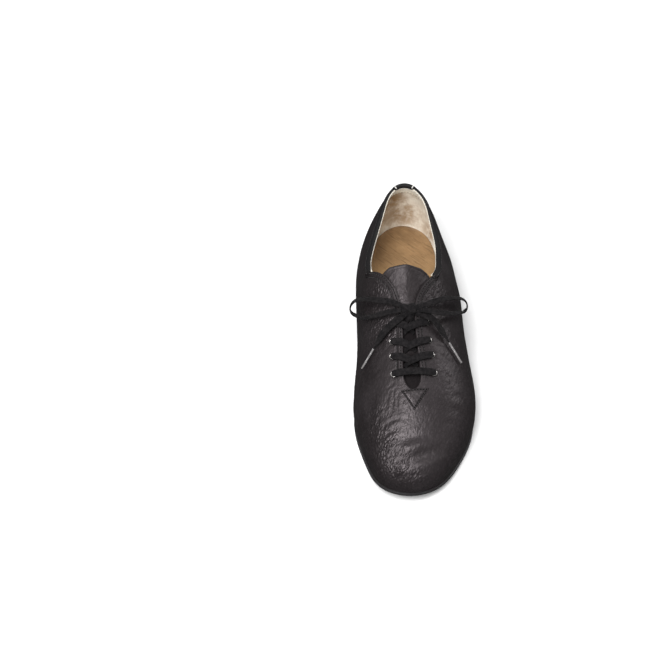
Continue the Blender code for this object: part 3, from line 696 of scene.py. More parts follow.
def mixed(tree, share, first, second):
    made = add(tree, "ShaderNodeMix", data_type="RGBA")
    for socket, value in ((0, share), (6, first), (7, second)):
        if isinstance(value, bpy.types.NodeSocket):
            tree.links.new(value, made.inputs[socket])
        else:
            made.inputs[socket].default_value = value if socket == 0 else (*value, 1)
    return made.outputs[2]


def woven(tree, place, across, along):
    """Uneven threads both ways."""
    warp = noise(tree, scaled(tree, place, (across, across, along)), 1.0, 2.0)
    weft = noise(tree, scaled(tree, place, (along, along, across)), 1.0, 2.0)
    return sum_of(tree, warp, weft)


def sum_of(tree, first, second, operation="ADD"):
    return add(tree, "ShaderNodeMath", {0: first, 1: second}, operation=operation).outputs[0]


def bumped(tree, height, distance, strength=1.0, normal=None):
    settings = {"Height": height, "Distance": distance, "Strength": strength}
    if normal is not None:
        settings["Normal"] = normal
    return add(tree, "ShaderNodeBump", settings).outputs["Normal"]


# The grain's folds run slantwise over the foot: their turn, and how far they are drawn out that way.
GRAIN_TURN = math.radians(-60)
GRAIN_DRAW = (0.55, 1.1, 0.8)
# The near black of painted shade, in stitch grooves and shadowed places.
PAINTED_SHADE_BLACK = (0.0015, 0.0012, 0.0012)


def leather(name, dark, light, roughness, pebble, with_patches):
    """Pebbled leather with drawn-out folds, with painted shade darkening the grain's grooves and the marked
    stitch grooves and shadowed places.
    """
    gloss = {"IOR": 1.42, "Specular Tint": (1, 0.90, 0.93, 1)}
    made, tree, surface, place = finish_of(name, dark, roughness, **gloss)
    warp = add(tree, "ShaderNodeTexNoise", {"Vector": place, "Scale": 160.0, "Detail": 2.0})
    bent = add(
        tree,
        "ShaderNodeVectorMath",
        {0: warp.outputs["Color"], 1: (0.0012, 0.0012, 0.0012), 2: place},
        operation="MULTIPLY_ADD",
    ).outputs[0]
    drawn = scaled(tree, turned_by(tree, bent, GRAIN_TURN), GRAIN_DRAW)
    cells = add(
        tree,
        "ShaderNodeTexVoronoi",
        {"Vector": drawn, "Scale": pebble, "Randomness": 1.0},
        feature="DISTANCE_TO_EDGE",
    ).outputs["Distance"]
    domes = ranged(tree, cells, 0.0, 0.50, 0.0, 1.0)
    fine = noise(tree, place, 950.0, 3.0)
    folds = noise(tree, drawn, 330.0, 2.0, 0.5)
    if with_patches:
        patch = point_value(tree, "grain")
        strength = ranged(tree, patch, 0.0, 1.0, 0.14, 1.0)
        height = sum_of(tree, domes, strength, "MULTIPLY")
        folded = sum_of(tree, folds, ranged(tree, patch, 0.0, 1.0, 0.6, 1.7), "MULTIPLY")
    else:
        height = sum_of(tree, domes, 0.14, "MULTIPLY")
        folded = sum_of(tree, folds, 0.9, "MULTIPLY")
    normal = bumped(tree, folded, 0.00060, 1.0)
    normal = bumped(tree, height, 0.00042, 1.0, normal)
    normal = bumped(tree, fine, 0.00005, 0.8, normal)
    blotch = noise(tree, place, 26.0, 4.0)
    share = ranged(tree, blotch, 0.30, 0.72, 0.0, 1.0)
    colour = mixed(tree, share, dark, light)
    # Painted shade: where marked, the colour goes near black and the reflection is cut, as if in shadow.
    painted_shade = point_value(tree, "painted_shade")
    # Painted shade in the grain's grooves: the colour darkens towards each cell's edge.
    groove_shaded = mixed(tree, ranged(tree, domes, 0.0, 0.4, 0.35, 0.0), colour, times(dark, 0.45))
    sheen = ranged(tree, noise(tree, place, 60.0, 3.0), 0.25, 0.75, roughness - 0.06, roughness + 0.10)
    dulled = add(tree, "ShaderNodeMath", {0: painted_shade, 1: 0.45, 2: sheen}, operation="MULTIPLY_ADD").outputs[0]
    link(tree, surface, mixed(tree, painted_shade, groove_shaded, PAINTED_SHADE_BLACK), dulled, normal)
    tree.links.new(ranged(tree, painted_shade, 0.0, 1.0, 0.5, 0.0), surface.inputs["Specular IOR Level"])
    return made


def cloth(name, colour, dark, pitch, depth, roughness=0.85, sheen=0.15):
    """A plain woven cloth: uneven threads both ways, slightly soiled."""
    made, tree, surface, place = finish_of(name, colour, roughness, **{"IOR": 1.35, "Sheen Weight": sheen})
    weave = woven(tree, place, 0.7 / pitch, 0.16 / pitch)
    blotch = noise(tree, place, 45.0, 4.0)
    shade = mixed(tree, ranged(tree, blotch, 0.30, 0.75, 0.0, 1.0), colour, dark)
    threads = mixed(tree, ranged(tree, weave, 0.7, 1.2, 0.22, 0.0), shade, times(dark, 0.7))
    link(tree, surface, threads, normal=bumped(tree, weave, depth, 0.7))
    return made


def lining_canvas():
    """Undyed canvas, darkened brown at the heel's back and low down on the medial wall, partly by real soil
    and partly by painted shade near the insole.
    """
    made, tree, surface, place = finish_of("lining_canvas", (0.74, 0.66, 0.52), 0.9)
    weave = woven(tree, place, 900.0, 220.0)
    amount = point_value(tree, "soil_and_shade")
    clouds = noise(tree, place, 120.0, 5.0, 0.62)
    specks = noise(tree, place, 520.0, 3.0, 0.6)
    # Brown darkening where marked: partly real soil, partly painted shade low down by the insole.
    soiled_and_shaded = sum_of(tree, amount, ranged(tree, clouds, 0.32, 0.60, 0.42, 1.0), "MULTIPLY")
    clean = mixed(tree, ranged(tree, clouds, 0.3, 0.7, 0.0, 0.5), (0.97, 0.93, 0.83), (0.88, 0.81, 0.68))
    smudged_and_shaded = mixed(tree, soiled_and_shaded, clean, (0.30, 0.175, 0.080))
    dotted = mixed(tree, ranged(tree, specks, 0.60, 0.72, 0.0, 0.4), smudged_and_shaded, (0.42, 0.33, 0.22))
    threads = mixed(tree, ranged(tree, weave, 0.75, 1.15, 0.15, 0.0), dotted, (0.40, 0.32, 0.22))
    link(tree, surface, threads, normal=bumped(tree, weave, 0.00010, 0.8))
    return made


def insole_leather():
    """Tan leather, rubbed by the heel and scored by long slanting scratches, with painted light that makes it
    paler towards the toe.
    """
    made, tree, surface, place = finish_of("insole_tan", (0.40, 0.26, 0.13), 0.48)
    turned = turned_by(tree, place, 0.80)
    scratches = noise(tree, scaled(tree, turned, (55.0, 950.0, 40.0)), 1.0, 4.0, 0.7)
    fine = noise(tree, scaled(tree, turned, (120.0, 2600.0, 60.0)), 1.0, 2.0, 0.7)
    pores = noise(tree, place, 1400.0, 2.0)
    rubbed = noise(tree, place, 42.0, 4.0, 0.6)
    base = mixed(tree, ranged(tree, rubbed, 0.3, 0.7, 0.0, 1.0), (0.290, 0.175, 0.082), (0.190, 0.110, 0.048))
    scratched = mixed(tree, ranged(tree, scratches, 0.54, 0.66, 0.0, 0.75), base, (0.085, 0.045, 0.018))
    pale = mixed(tree, ranged(tree, fine, 0.56, 0.72, 0.0, 0.45), scratched, (0.52, 0.36, 0.19))
    # Painted light: the insole's colour gets paler towards the toe.
    length = add(tree, "ShaderNodeSeparateXYZ", {"Vector": place}).outputs["Y"]
    painted_light_toeward = mixed(tree, ranged(tree, length, 0.095, 0.045, 0.0, 0.75), pale, (0.47, 0.30, 0.140))
    normal = bumped(tree, sum_of(tree, sum_of(tree, scratches, pores), fine), 0.00012, 0.5)
    link(tree, surface, painted_light_toeward, ranged(tree, rubbed, 0.3, 0.7, 0.42, 0.58), normal)
    return made


def rubber(name, colour, roughness):
    made, tree, surface, place = finish_of(name, colour, roughness)
    grain = noise(tree, place, 1800.0, 3.0)
    scuffs = noise(tree, scaled(tree, place, (60.0, 420.0, 420.0)), 1.0, 4.0, 0.65)
    scuffed = mixed(tree, ranged(tree, scuffs, 0.5, 0.8, 0.0, 0.6), colour, times(colour, 2.6))
    spread = ranged(tree, noise(tree, place, 70.0, 3.0), 0.3, 0.7, roughness - 0.08, roughness + 0.10)
    link(tree, surface, scuffed, spread, bumped(tree, sum_of(tree, grain, scuffs), 0.00008, 0.6))
    return made


def nickel():
    made, tree, surface, place = finish_of("eyelet_nickel", (0.52, 0.50, 0.48), 0.26, 1.0)
    rub = noise(tree, place, 900.0, 3.0)
    shade = mixed(tree, ranged(tree, rub, 0.45, 0.75, 0.0, 0.5), (0.56, 0.54, 0.52), (0.34, 0.32, 0.30))
    link(tree, surface, shade, ranged(tree, rub, 0.3, 0.7, 0.16, 0.34), bumped(tree, rub, 0.00002, 0.5))
    return made


def thread(name, colour, roughness=0.6):
    made, tree, surface, place = finish_of(name, colour, roughness, **{"Sheen Weight": 0.1})
    twist = noise(tree, place, 3200.0, 2.0)
    shade = mixed(tree, ranged(tree, twist, 0.35, 0.65, 0.0, 1.0), times(colour, 0.6), colour)
    link(tree, surface, shade, normal=bumped(tree, twist, 0.00005, 0.8))
    return made


def lace_cotton():
    """Flat braided cotton: small slanting plaits over a fuzzy black yarn."""
    made, tree, surface, place = finish_of(
        "lace_black", (0.009, 0.008, 0.009), 0.88, **{"IOR": 1.22, "Sheen Weight": 0.015}
    )
    cells = add(tree, "ShaderNodeTexVoronoi", {"Vector": place, "Scale": 1250.0}, feature="F1")
    fuzz = noise(tree, place, 2400.0, 3.0)
    height = sum_of(tree, ranged(tree, cells.outputs["Distance"], 0.0, 0.7, 1.0, 0.0), fuzz)
    share = ranged(tree, noise(tree, place, 420.0, 3.0), 0.3, 0.75, 0.0, 1.0)
    shade = mixed(tree, share, (0.0045, 0.0040, 0.0045), (0.0130, 0.0115, 0.0120))
    link(tree, surface, shade, normal=bumped(tree, height, 0.00016, 0.8))
    return made


def aglet_plastic():
    made, tree, surface, place = finish_of(
        "aglet_clear", (0.30, 0.29, 0.29), 0.22, **{"Coat Weight": 0.5, "Transmission Weight": 0.25}
    )
    wear = noise(tree, place, 500.0, 3.0)
    shade = mixed(tree, ranged(tree, wear, 0.35, 0.7, 0.0, 0.6), (0.24, 0.23, 0.23), (0.12, 0.11, 0.11))
    link(tree, surface, shade, normal=bumped(tree, wear, 0.00003, 0.5))
    return made


def floor_paint():
    made, tree, surface, place = finish_of("floor_pale", (0.90, 0.90, 0.90), 0.75)
    soft = noise(tree, place, 3.0, 2.0)
    link(tree, surface, mixed(tree, soft, (0.89, 0.89, 0.89), (0.91, 0.91, 0.91)))
    return made


LEATHER = leather("black_leather", (0.0120, 0.0098, 0.0103), (0.0200, 0.0168, 0.0178), 0.38, 460.0, True)
TONGUE_LEATHER = leather(
    "tongue_leather", (0.0140, 0.0115, 0.0120), (0.0230, 0.0190, 0.0200), 0.42, 520.0, False
)
CANVAS = lining_canvas()
CREAM_TAPE = cloth("collar_tape_cream", (0.88, 0.83, 0.72), (0.78, 0.71, 0.58), 0.0007, 0.00005)
TAN = insole_leather()
SOLE = rubber("sole_black", (0.018, 0.017, 0.018), 0.46)
HEEL_RUBBER = rubber("heel_black", (0.014, 0.013, 0.014), 0.58)
TAPE = cloth("binding_black", (0.0090, 0.0080, 0.0085), (0.0055, 0.0050, 0.0055), 0.0008, 0.00007, 0.72, 0.0)
NICKEL = nickel()
BLACK_THREAD = thread("thread_black", (0.011, 0.010, 0.010), 0.55)
WHITE_THREAD = thread("thread_white", (0.78, 0.76, 0.72))
CREAM_THREAD = thread("thread_cream", (0.52, 0.46, 0.36))
COTTON = lace_cotton()
PLASTIC = aglet_plastic()


# Camera, light and floor.

CAMERA_AZIMUTH = math.radians(-2.78)
CAMERA_ELEVATION = math.radians(51.22)
CAMERA_TARGET = Vector((-0.0590, 0.0011, 0.0410))
CAMERA_DISTANCE = 1.1
CAMERA_LENS = 82.0


def make_camera():
    level, rise = math.cos(CAMERA_ELEVATION), math.sin(CAMERA_ELEVATION)
    back = Vector((math.sin(CAMERA_AZIMUTH) * level, -math.cos(CAMERA_AZIMUTH) * level, rise))
    right = Vector((math.cos(CAMERA_AZIMUTH), math.sin(CAMERA_AZIMUTH), 0))
    up = back.cross(right)
    data = bpy.data.cameras.new("camera")
    data.lens = CAMERA_LENS
    data.sensor_width = 36
    data.clip_start = 0.01
    camera = bpy.data.objects.new("camera", data)
    bpy.context.scene.collection.objects.link(camera)
    turn = Matrix((right, up, back)).transposed().to_4x4()
    camera.matrix_world = Matrix.Translation(CAMERA_TARGET + back * CAMERA_DISTANCE) @ turn
    bpy.context.scene.camera = camera


# Square area lights: place and aim, side in metres, and power in watts.
Light = namedtuple("Light", "name place aim size power")
LIGHTS = table(Light, [
    ("top", (-0.24, -0.42, 1.24), (0, 0, 0.03), 0.62, 14.5),
    ("front", (-0.55, -0.75, 1.00), (0, -0.02, 0.03), 0.70, 10),
    ("right", (1.00, 0.60, 0.62), (0, 0.05, 0.03), 0.60, 3.5),
])
FLOOR_HALF = 3


def area_light(name, place, aim, size, power):
    data = bpy.data.lights.new(name, "AREA")
    data.shape = "SQUARE"
    data.size = size
    data.energy = power
    light = bpy.data.objects.new(name, data)
    bpy.context.scene.collection.objects.link(light)
    direction = Vector(aim) - Vector(place)
    light.matrix_world = Matrix.Translation(place) @ direction.to_track_quat("-Z", "Y").to_matrix().to_4x4()


def make_studio():
    world = bpy.data.worlds.new("studio")
    bpy.context.scene.world = world
    world.use_nodes = True
    tree = world.node_tree
    direction = add(tree, "ShaderNodeTexCoord").outputs["Generated"]
    rise = add(tree, "ShaderNodeSeparateXYZ", {"Vector": direction}).outputs["Z"]
    background = tree.nodes["Background"]
    background.inputs["Color"].default_value = (1, 1, 1, 1)
    tree.links.new(ranged(tree, rise, -0.10, 0.85, 0.06, 0.62), background.inputs["Strength"])
    bpy.context.scene.view_settings.view_transform = "Standard"
    for light in LIGHTS:
        area_light(*light)
    corners = [(x * FLOOR_HALF, y * FLOOR_HALF, 0) for x, y in ((-1, -1), (1, -1), (1, 1), (-1, 1))]
    floor = mesh_object("floor", corners, [(0, 1, 2, 3)], False)
    floor.data.materials.append(floor_paint())
    floor.visible_glossy = False


make_camera()


# The bow and its ends.

# The way that the lace's flat side turns where a loop stands on edge.
EDGE_ON = np.array((-0.03, -0.62, 0.78))


def route_values(route, count):
    steps = np.linspace(0, len(route) - 1, count)
    return [spline([getattr(row, name) for row in route], steps, False, False) for name in RoutePoint._fields]


def bow_line(route, count):
    """Middle line, the flat lace's direction across itself, and the upper's normal below it."""
    along, across, above, lean = route_values(route, count)
    middle = on_crown(along, across, above)
    normal = crown_normal(along, across)
    flat = unit(np.cross(normal, np.gradient(middle, axis=0)))
    share = 0.72 * smooth_step(np.abs(lean), 5, 75)[:, None]
    signs = np.sign((flat * EDGE_ON).sum(-1, keepdims=True))
    return middle, unit(flat * (1 - share) * np.where(signs == 0, 1, signs) + EDGE_ON * share), normal


def make_loop(label, route):
    middle, flat, _ = bow_line(route, 150)
    share = np.linspace(0, 1, len(middle))
    gather = smooth_step(np.minimum(share, 1 - share), 0.0, 0.16)
    width = LACE_WIDTH * (0.62 + 0.20 * gather)
    thickness = LACE_THICKNESS * (1.35 - 0.35 * gather)
    loop = mesh_object("lace_loop_" + label, *swept(lace_rings(middle, flat, width, thickness)), sharp=60)
    dress(outward(loop), COTTON, ["lace_loop_" + label])


# The lace's width and thickness where it is rolled up inside its aglet.
LACE_ROLLED = 0.0009


def make_end(label, route):
    middle, flat, _ = bow_line(route, 60)
    direction = unit(middle[-1] - middle[-4])
    inside = middle[-1] + direction * np.linspace(0, AGLET_LENGTH - 0.0006, 24)[1:, None]
    path = np.concatenate([middle, inside])
    flat = np.concatenate([flat, np.repeat(flat[-1:], len(inside), axis=0)])
    run = run_of(path)
    to_tip = run[len(middle) - 1] - run
    taper = smooth_step(to_tip, 0.0, 0.0095)
    start = smooth_step(run, 0.0, 0.005)
    width = (LACE_ROLLED + (LACE_WIDTH - LACE_ROLLED) * taper) * (0.7 + 0.3 * start)
    thickness = LACE_ROLLED + (LACE_THICKNESS - LACE_ROLLED) * taper
    end = mesh_object("lace_end_" + label, *swept(lace_rings(path, flat, width, thickness)), sharp=60)
    dress(outward(end), COTTON, ["lace_end_" + label])
    aglet = make_aglet(label, middle[-1], direction)


AGLET_BORE = 0.62 * AGLET_RADIUS


def make_aglet(label, start, direction):
    """A rolled plastic sleeve with a pinched mouth, two crimps and an open tip."""
    profile = [
        (0.0000, 0.86),
        (0.0003, 0.98),
        (0.0009, 1.00),
        (0.0030, 1.00),
        (0.0033, 0.90),
        (0.0036, 1.00),
        (0.0060, 1.00),
        (0.0063, 0.90),
        (0.0066, 1.00),
        (0.0120, 0.98),
        (0.0160, 0.92),
        (0.0167, 0.86),
        (0.0170, 0.76),
    ]
    side_a = unit(np.cross(direction, (0, 0, 1)))
    side_b = np.cross(direction, side_a)
    angle = np.linspace(0, 2 * math.pi, 20, endpoint=False)
    around = np.cos(angle)[:, None] * side_a + np.sin(angle)[:, None] * side_b
    rings = [start + direction * (at + GAP) + around * AGLET_RADIUS * share for at, share in profile]
    inner = [start + direction * (at + GAP) + around * AGLET_BORE for at in (AGLET_LENGTH, 0.0005)]
    verts, faces = swept(np.array(rings + inner), closed=True, capped=False)
    aglet = mesh_object("aglet_" + label, verts, faces, sharp=50)
    return dress(outward(aglet), PLASTIC, ["aglet_" + label])


KNOT_TILT = math.radians(16)


def make_knot():
    """The bow's knot: a turn of lace round the gathered loops, over the half knot that the legs make."""
    centre = on_crown(KNOT.along, KNOT.across, KNOT.above)
    normal = crown_normal(KNOT.along, KNOT.across)
    heelward = unit(np.array((0, 1, 0)) - normal * normal[1])
    lateral = np.cross(heelward, normal)
    angle = np.linspace(0, 2 * math.pi, 64, endpoint=False)
    axis = lateral * math.cos(KNOT_TILT) + heelward * math.sin(KNOT_TILT)
    ahead = np.cross(normal, axis)
    ring = centre + 3.1 * MM * np.cos(angle)[:, None] * ahead + 2.2 * MM * np.sin(angle)[:, None] * normal
    ring = ring + axis * (0.5 * MM * np.sin(2 * angle + 0.6))[:, None]
    width = LACE_WIDTH * (0.94 - 0.16 * np.cos(angle) ** 2)
    flat = unit(axis + 0.10 * np.sin(angle)[:, None] * normal)
    tangent = unit(np.roll(ring, -1, axis=0) - np.roll(ring, 1, axis=0))
    across = unit(flat - tangent * (flat * tangent).sum(-1, keepdims=True))
    up = np.cross(tangent, across)
    x, y = band_outline()
    rings = ring[:, None] + across[:, None] * x * width[:, None, None] / 2
    rings = rings + up[:, None] * y * (0.0015 + 0.0003 * np.sin(3 * angle)[:, None, None]) / 2
    parts = [swept(rings, closed=True)]
    low = -1.7 * MM * normal - 1.6 * MM * heelward
    for first, last, shift, reach, lean, width, thickness in (
        (LOOP_MEDIAL[0], LOOP_LATERAL[0], 0.9 * MM * normal, 1.6, 0.35, 0.0040, 0.0020),
        (LOOP_MEDIAL[-1], LOOP_LATERAL[-1], -0.4 * MM * normal, 1.6, 0.35, 0.0040, 0.0020),
        (END_MEDIAL[0], END_LATERAL[0], low, 1.5, 0.5, 0.0042, 0.0018),
    ):
        ends = [on_crown(row.along, row.across, row.above) for row in (first, last)]
        inner = [centre + shift + lateral * way * reach * MM for way in SIDES]
        line = through([ends[0], *inner, ends[1]])
        parts.append(swept(lace_rings(line, carried(line, heelward + lean * normal), width, thickness)))
    knot = joined("lace_knot", parts)
    dress(outward(knot), COTTON, ["lace_knot"])


make_loop("medial", LOOP_MEDIAL)
make_loop("lateral", LOOP_LATERAL)
make_end("medial", END_MEDIAL)
make_end("lateral", END_LATERAL)
make_knot()


# The lacing through the eyelets.


def eyelet_frame(along, across):
    side, q, t = crown_place(np.array(along), np.array(across))
    return last_point(side, q, t), last_normal(side, q, t)


# The lace's last stretch at an eyelet, from over the facing down through it and back below: distance past the
# eyelet's middle, height above the upper, width and thickness, in millimetres.
Dive = namedtuple("Dive", "past height width thickness")
DIVE = table(Dive, [
    (-3.0, 1.75, 5.2, 1.40),
    (-1.4, 1.74, 5.0, 1.50),
    (0.1, 1.50, 4.5, 1.70),
    (0.75, 0.72, 3.6, 1.80),
    (0.50, -0.60, 2.3, 1.80),
    (0.30, -1.60, 2.3, 1.40),
    (-0.30, -2.42, 3.2, 0.90),
    (-1.60, -2.56, 4.2, 0.80),
    (-4.20, -2.56, 4.4, 0.80),
])

# The stretch of a crossing from below the opposite facing to near its eyelet: share of the way from the
# slit's middle, shift toward the toe as a share of LENGTH, height and width in millimetres.
Cross = namedtuple("Cross", "way toward_toe height width")
CROSSING = table(Cross, [
    (-0.34, 0.034, -2.55, 3.0),
    (-0.27, 0.031, -2.10, 3.0),
    (-0.20, 0.028, -1.10, 3.2),
    (-0.11, 0.026, 0.10, 3.8),
    (0.02, 0.022, 1.10, 4.7),
    (0.20, 0.017, 1.65, 5.2),
    (0.42, 0.011, 1.75, 5.3),
    (0.64, 0.006, 1.75, 5.2),
])


def dive_points(place, normal, toward):
    """The lace's way down through an eyelet for a lace that comes from the way opposite to toward."""
    direction = unit(toward - normal * (toward @ normal))
    return [place + direction * row.past * MM + normal * row.height * MM for row in DIVE]


def lace_piece(name, points, widths, thicknesses, first_flat, replaces=()):
    path = through(points, 8)
    at = np.linspace(0, len(points) - 1, len(path))
    width = np.interp(at, range(len(widths)), widths) * MM
    thickness = np.interp(at, range(len(thicknesses)), thicknesses) * MM
    made = mesh_object(name, *swept(lace_rings(path, carried(path, first_flat), width, thickness)), sharp=60)
    return dress(outward(made), COTTON, replaces)


def make_bar():
    pair = PAIRS[0]
    heights = np.array([1.75, 1.80, 1.85, 1.88, 1.85, 1.80, 1.75]) * MM
    count = len(heights)
    across = np.linspace(pair.medial + 0.040, pair.lateral - 0.040, count)
    middle = on_crown(np.full(count, pair.along), across, heights)
    left_place, left_normal = eyelet_frame(pair.along, pair.medial)
    right_place, right_normal = eyelet_frame(pair.along, pair.lateral)
    out_left = middle[0] - middle[2]
    left = dive_points(left_place, left_normal, out_left)[::-1]
    right = dive_points(right_place, right_normal, middle[-1] - middle[-3])
    widths = [row.width for row in DIVE[::-1]] + [5.3] * count + [row.width for row in DIVE]
    thick = [row.thickness for row in DIVE[::-1]] + [1.3] * count + [row.thickness for row in DIVE]
    flat = np.cross(left_normal, out_left)
    lace_piece("lace_bar", left + list(middle) + right, widths, thick, flat, ["lace_bar"])


def make_crossing(number):
    pair = PAIRS[number - 1]
    middle = (FACINGS[-2].medial + FACINGS[-2].lateral) / 2
    for label, across, lift in (("medial", pair.medial, 0.0), ("lateral", pair.lateral, 1.0)):
        way, toward_toe, height, width = np.array(CROSSING).T
        along = pair.along + toward_toe
        places = middle + (across - middle) * way
        run = on_crown(along, places, height * MM + lift * LACE_THICKNESS * bell(way, 0.02, 0.26))
        place, normal = eyelet_frame(pair.along, across)
        points = list(run) + dive_points(place, normal, place - run[-2])
        widths = list(width) + [row.width for row in DIVE]
        thick = [1.25] * len(CROSSING) + [row.thickness for row in DIVE]
        first = np.cross(crown_normal(along[0], places[0]), run[1] - run[0])
        replaces = [f"lace_cross_{number}"] if label == "medial" else []
        lace_piece(f"lace_cross_{number}_{label}", points, widths, thick, first, replaces)


# The lace's two legs, from under the facings toward the knot: places along and across, height in millimetres.
LEGS = {
    "medial": [(0.566, -0.112, -2.5), (0.562, -0.092, -2.3), (0.556, -0.074, -1.0), (0.547, -0.060, 1.2),
               (0.539, -0.050, 2.9)],
    "lateral": [(0.566, 0.006, -2.5), (0.562, -0.014, -2.3), (0.556, -0.030, -1.0), (0.547, -0.030, 1.2),
                (0.539, -0.030, 2.9)],
}
LEG_WIDTHS = [3.6, 3.4, 3.4, 3.6, 4.0, 4.0]
LEG_THICKNESSES = [0.8, 1.0, 1.2, 1.3, 1.4, 1.4]


def make_legs():
    """The lace's two legs, up through the slit from the top eyelets into the knot."""
    centre = on_crown(KNOT.along, KNOT.across, KNOT.above - 0.0014)
    for label, rows in LEGS.items():
        along, across, above = np.array(rows).T
        points = list(on_crown(along, across, above * MM)) + [centre]
        normal = crown_normal(along[2], across[2])
        first = np.cross(normal, unit(points[1] - points[0]))
        lace_piece("lace_leg_" + label, points, LEG_WIDTHS, LEG_THICKNESSES, first)


make_bar()
for pair_number in (2, 3, 4):
    make_crossing(pair_number)
make_legs()


# The upper: its leather and its lining.


def upper_columns(side):
    corner = corner_section(side)
    straight = section_at(FACINGS[-1].medial_along)
    end = section_at(SLIT_END)
    round_end = [end - (end - straight) * (1 - math.sin(math.pi / 2 * k / 14)) for k in range(1, 15)]
    return np.concatenate(
        [
            np.linspace(0, 4, 61)[:-1],
            np.linspace(4, corner, 15)[:-1],
            np.linspace(corner, straight, 81)[:-1],
            [straight],
            round_end,
            end + (TIP - end) * np.linspace(0, 1, 83)[1:],
        ]
    )


COLUMNS = {side: upper_columns(side) for side in SIDES}
EDGES = {side: np.array([edge_share(side, q) for q in COLUMNS[side]]) for side in SIDES}
LOW_ROWS = 14
HIGH_ROWS = 54
WALL_STEP = 0.01


def sewn_mesh(grids):
    shape = bmesh.new()
    for points, turned in grids:
        corners = [[shape.verts.new(point) for point in row] for row in points]
        for row, following in zip(corners, corners[1:]):
            for i in range(len(row) - 1):
                face = [row[i], row[i + 1], following[i + 1], following[i]]
                shape.faces.new(face[::-1] if turned else face)
    bmesh.ops.remove_doubles(shape, verts=shape.verts, dist=SHELL_MERGE)
    bmesh.ops.dissolve_degenerate(shape, edges=shape.edges, dist=NO_LENGTH)
    shape.normal_update()
    shape.verts.ensure_lookup_table()
    verts = np.array([v.co for v in shape.verts])
    normals = np.array([v.normal for v in shape.verts])
    faces = [[v.index for v in face.verts] for face in shape.faces]
    rims = []
    for edge in shape.edges:
        if len(edge.link_faces) == 1:
            loop = next(l for l in edge.link_faces[0].loops if l.edge == edge)
            rims.append((loop.vert.index, loop.link_loop_next.vert.index))
    shape.free()
    return verts, normals, faces, rims


def shell(name, verts, normals, faces, rims, over, under):
    """A closed shell: its outer skin lifted by over along the normals and its inner one lowered by under."""
    count = len(verts)
    outer = verts + normals * np.asarray(over).reshape(-1, 1)
    inner = verts - normals * np.asarray(under).reshape(-1, 1)
    all_faces = list(faces) + [[i + count for i in face[::-1]] for face in faces]
    all_faces += [[b, a, a + count, b + count] for a, b in rims]
    return mesh_object(name, np.concatenate([outer, inner]), all_faces, sharp=70)


def mark(made, name, values):
    """Stores a value at each vertex of a shell's two skins, for its material to read."""
    attribute = made.data.attributes.new(name, "FLOAT", "POINT")
    attribute.data.foreach_set("value", np.tile(values, 2).astype(np.float32))


def distance_to(points, line):
    """Nearest distance from each point to a line through places, and how far along that is, from 0 to 1."""
    best = np.full(len(points), FAR)
    where = np.zeros(len(points))
    starts, ends = line[:-1], line[1:]
    for i, (a, b) in enumerate(zip(starts, ends)):
        ab = b - a
        share = np.clip(((points - a) @ ab) / max(ab @ ab, 1e-12), 0, 1)
        d = np.linalg.norm(points - a - share[:, None] * ab, axis=1)
        nearer = d < best
        best[nearer] = d[nearer]
        where[nearer] = (i + share[nearer]) / len(starts)
    return best, where


def upper_grid(side, rows_low, rows_high, columns, edges):
    low = np.linspace(0, HIP_AT, rows_low + 1)[:-1]
    u = np.linspace(0, 1, rows_high + 1)
    high = 1 - (1 - u) ** 1.5
    points = []
    for q, edge in zip(columns, edges):
        points.append(last_point(side, q, np.concatenate([low, HIP_AT + (edge - HIP_AT) * high])))
    return np.array(points), side < 0


def wall_speed(side, q, t):
    """How far the form runs there for each step of t."""
    return np.linalg.norm(last_point(side, q, t) - last_point(side, q, t - WALL_STEP), axis=-1) / WALL_STEP


def edge_line(side, kind):
    """The upper's edge on one side: its topline, or its facing down to the slit's end."""
    corner = corner_section(side)
    columns, edges = COLUMNS[side], EDGES[side]
    end = section_at(SLIT_END)
    if kind == "topline":
        pick = columns <= corner + 1e-9
    else:
        pick = (columns >= corner - 1e-9) & (columns <= end + 1e-9)
    return last_point(side, columns[pick], edges[pick])


def edge_distance(verts, kind):
    """Distance to the nearer side's topline or facing."""
    return np.minimum(*(distance_to(verts, edge_line(side, kind))[0] for side in SIDES))


def crease_line(places):
    return on_crown(*through(places, 6).T)


def crease_relief(verts):
    relief = np.zeros(len(verts))
    lines = [(crease_line(c.places), c.height, c.width) for c in CREASES]
    for side, places, height, width in SIDE_CREASES:
        steps = np.linspace(0, len(places) - 1, 24)
        q, t = (spline(column, steps, False, False) for column in zip(*places))
        lines.append((last_point(side, q, t), height, width))
    for line, height, width in lines:
        distance, where = distance_to(verts, line)
        near = distance < 5 * width * MM
        d = distance[near] / (width * MM)
        fade = np.sin(np.pi * np.clip(where[near], 0.001, 0.999)) ** 0.7
        past = np.exp(-np.maximum(d - 4, 0))
        ridge = 0.45 * np.exp(-((d - 1.9) ** 2) / 0.9)
        relief[near] += height * MM * fade * past * (bell(d, 0, 1) - ridge)
    return relief


def grain_amount(verts):
    amount = np.full(len(verts), 0.10)
    for patch in GRAIN_PATCHES:
        distance = np.linalg.norm(verts - on_crown(patch.along, patch.across), axis=1)
        amount = np.maximum(amount, patch.amount * bell(distance, 0, patch.reach * MM))
    return np.clip(amount, 0, 1)


# The facing's folded band: its width and its stitch rows' distances from the edge in millimetres, and where
# it ends along the shoe; then the distance of the collar's stitch row below the topline.
FACING_BAND = 3.3
FACING_ROWS = (1.9, 4.6)
BAND_END = 0.722
COLLAR_ROW = 3.2


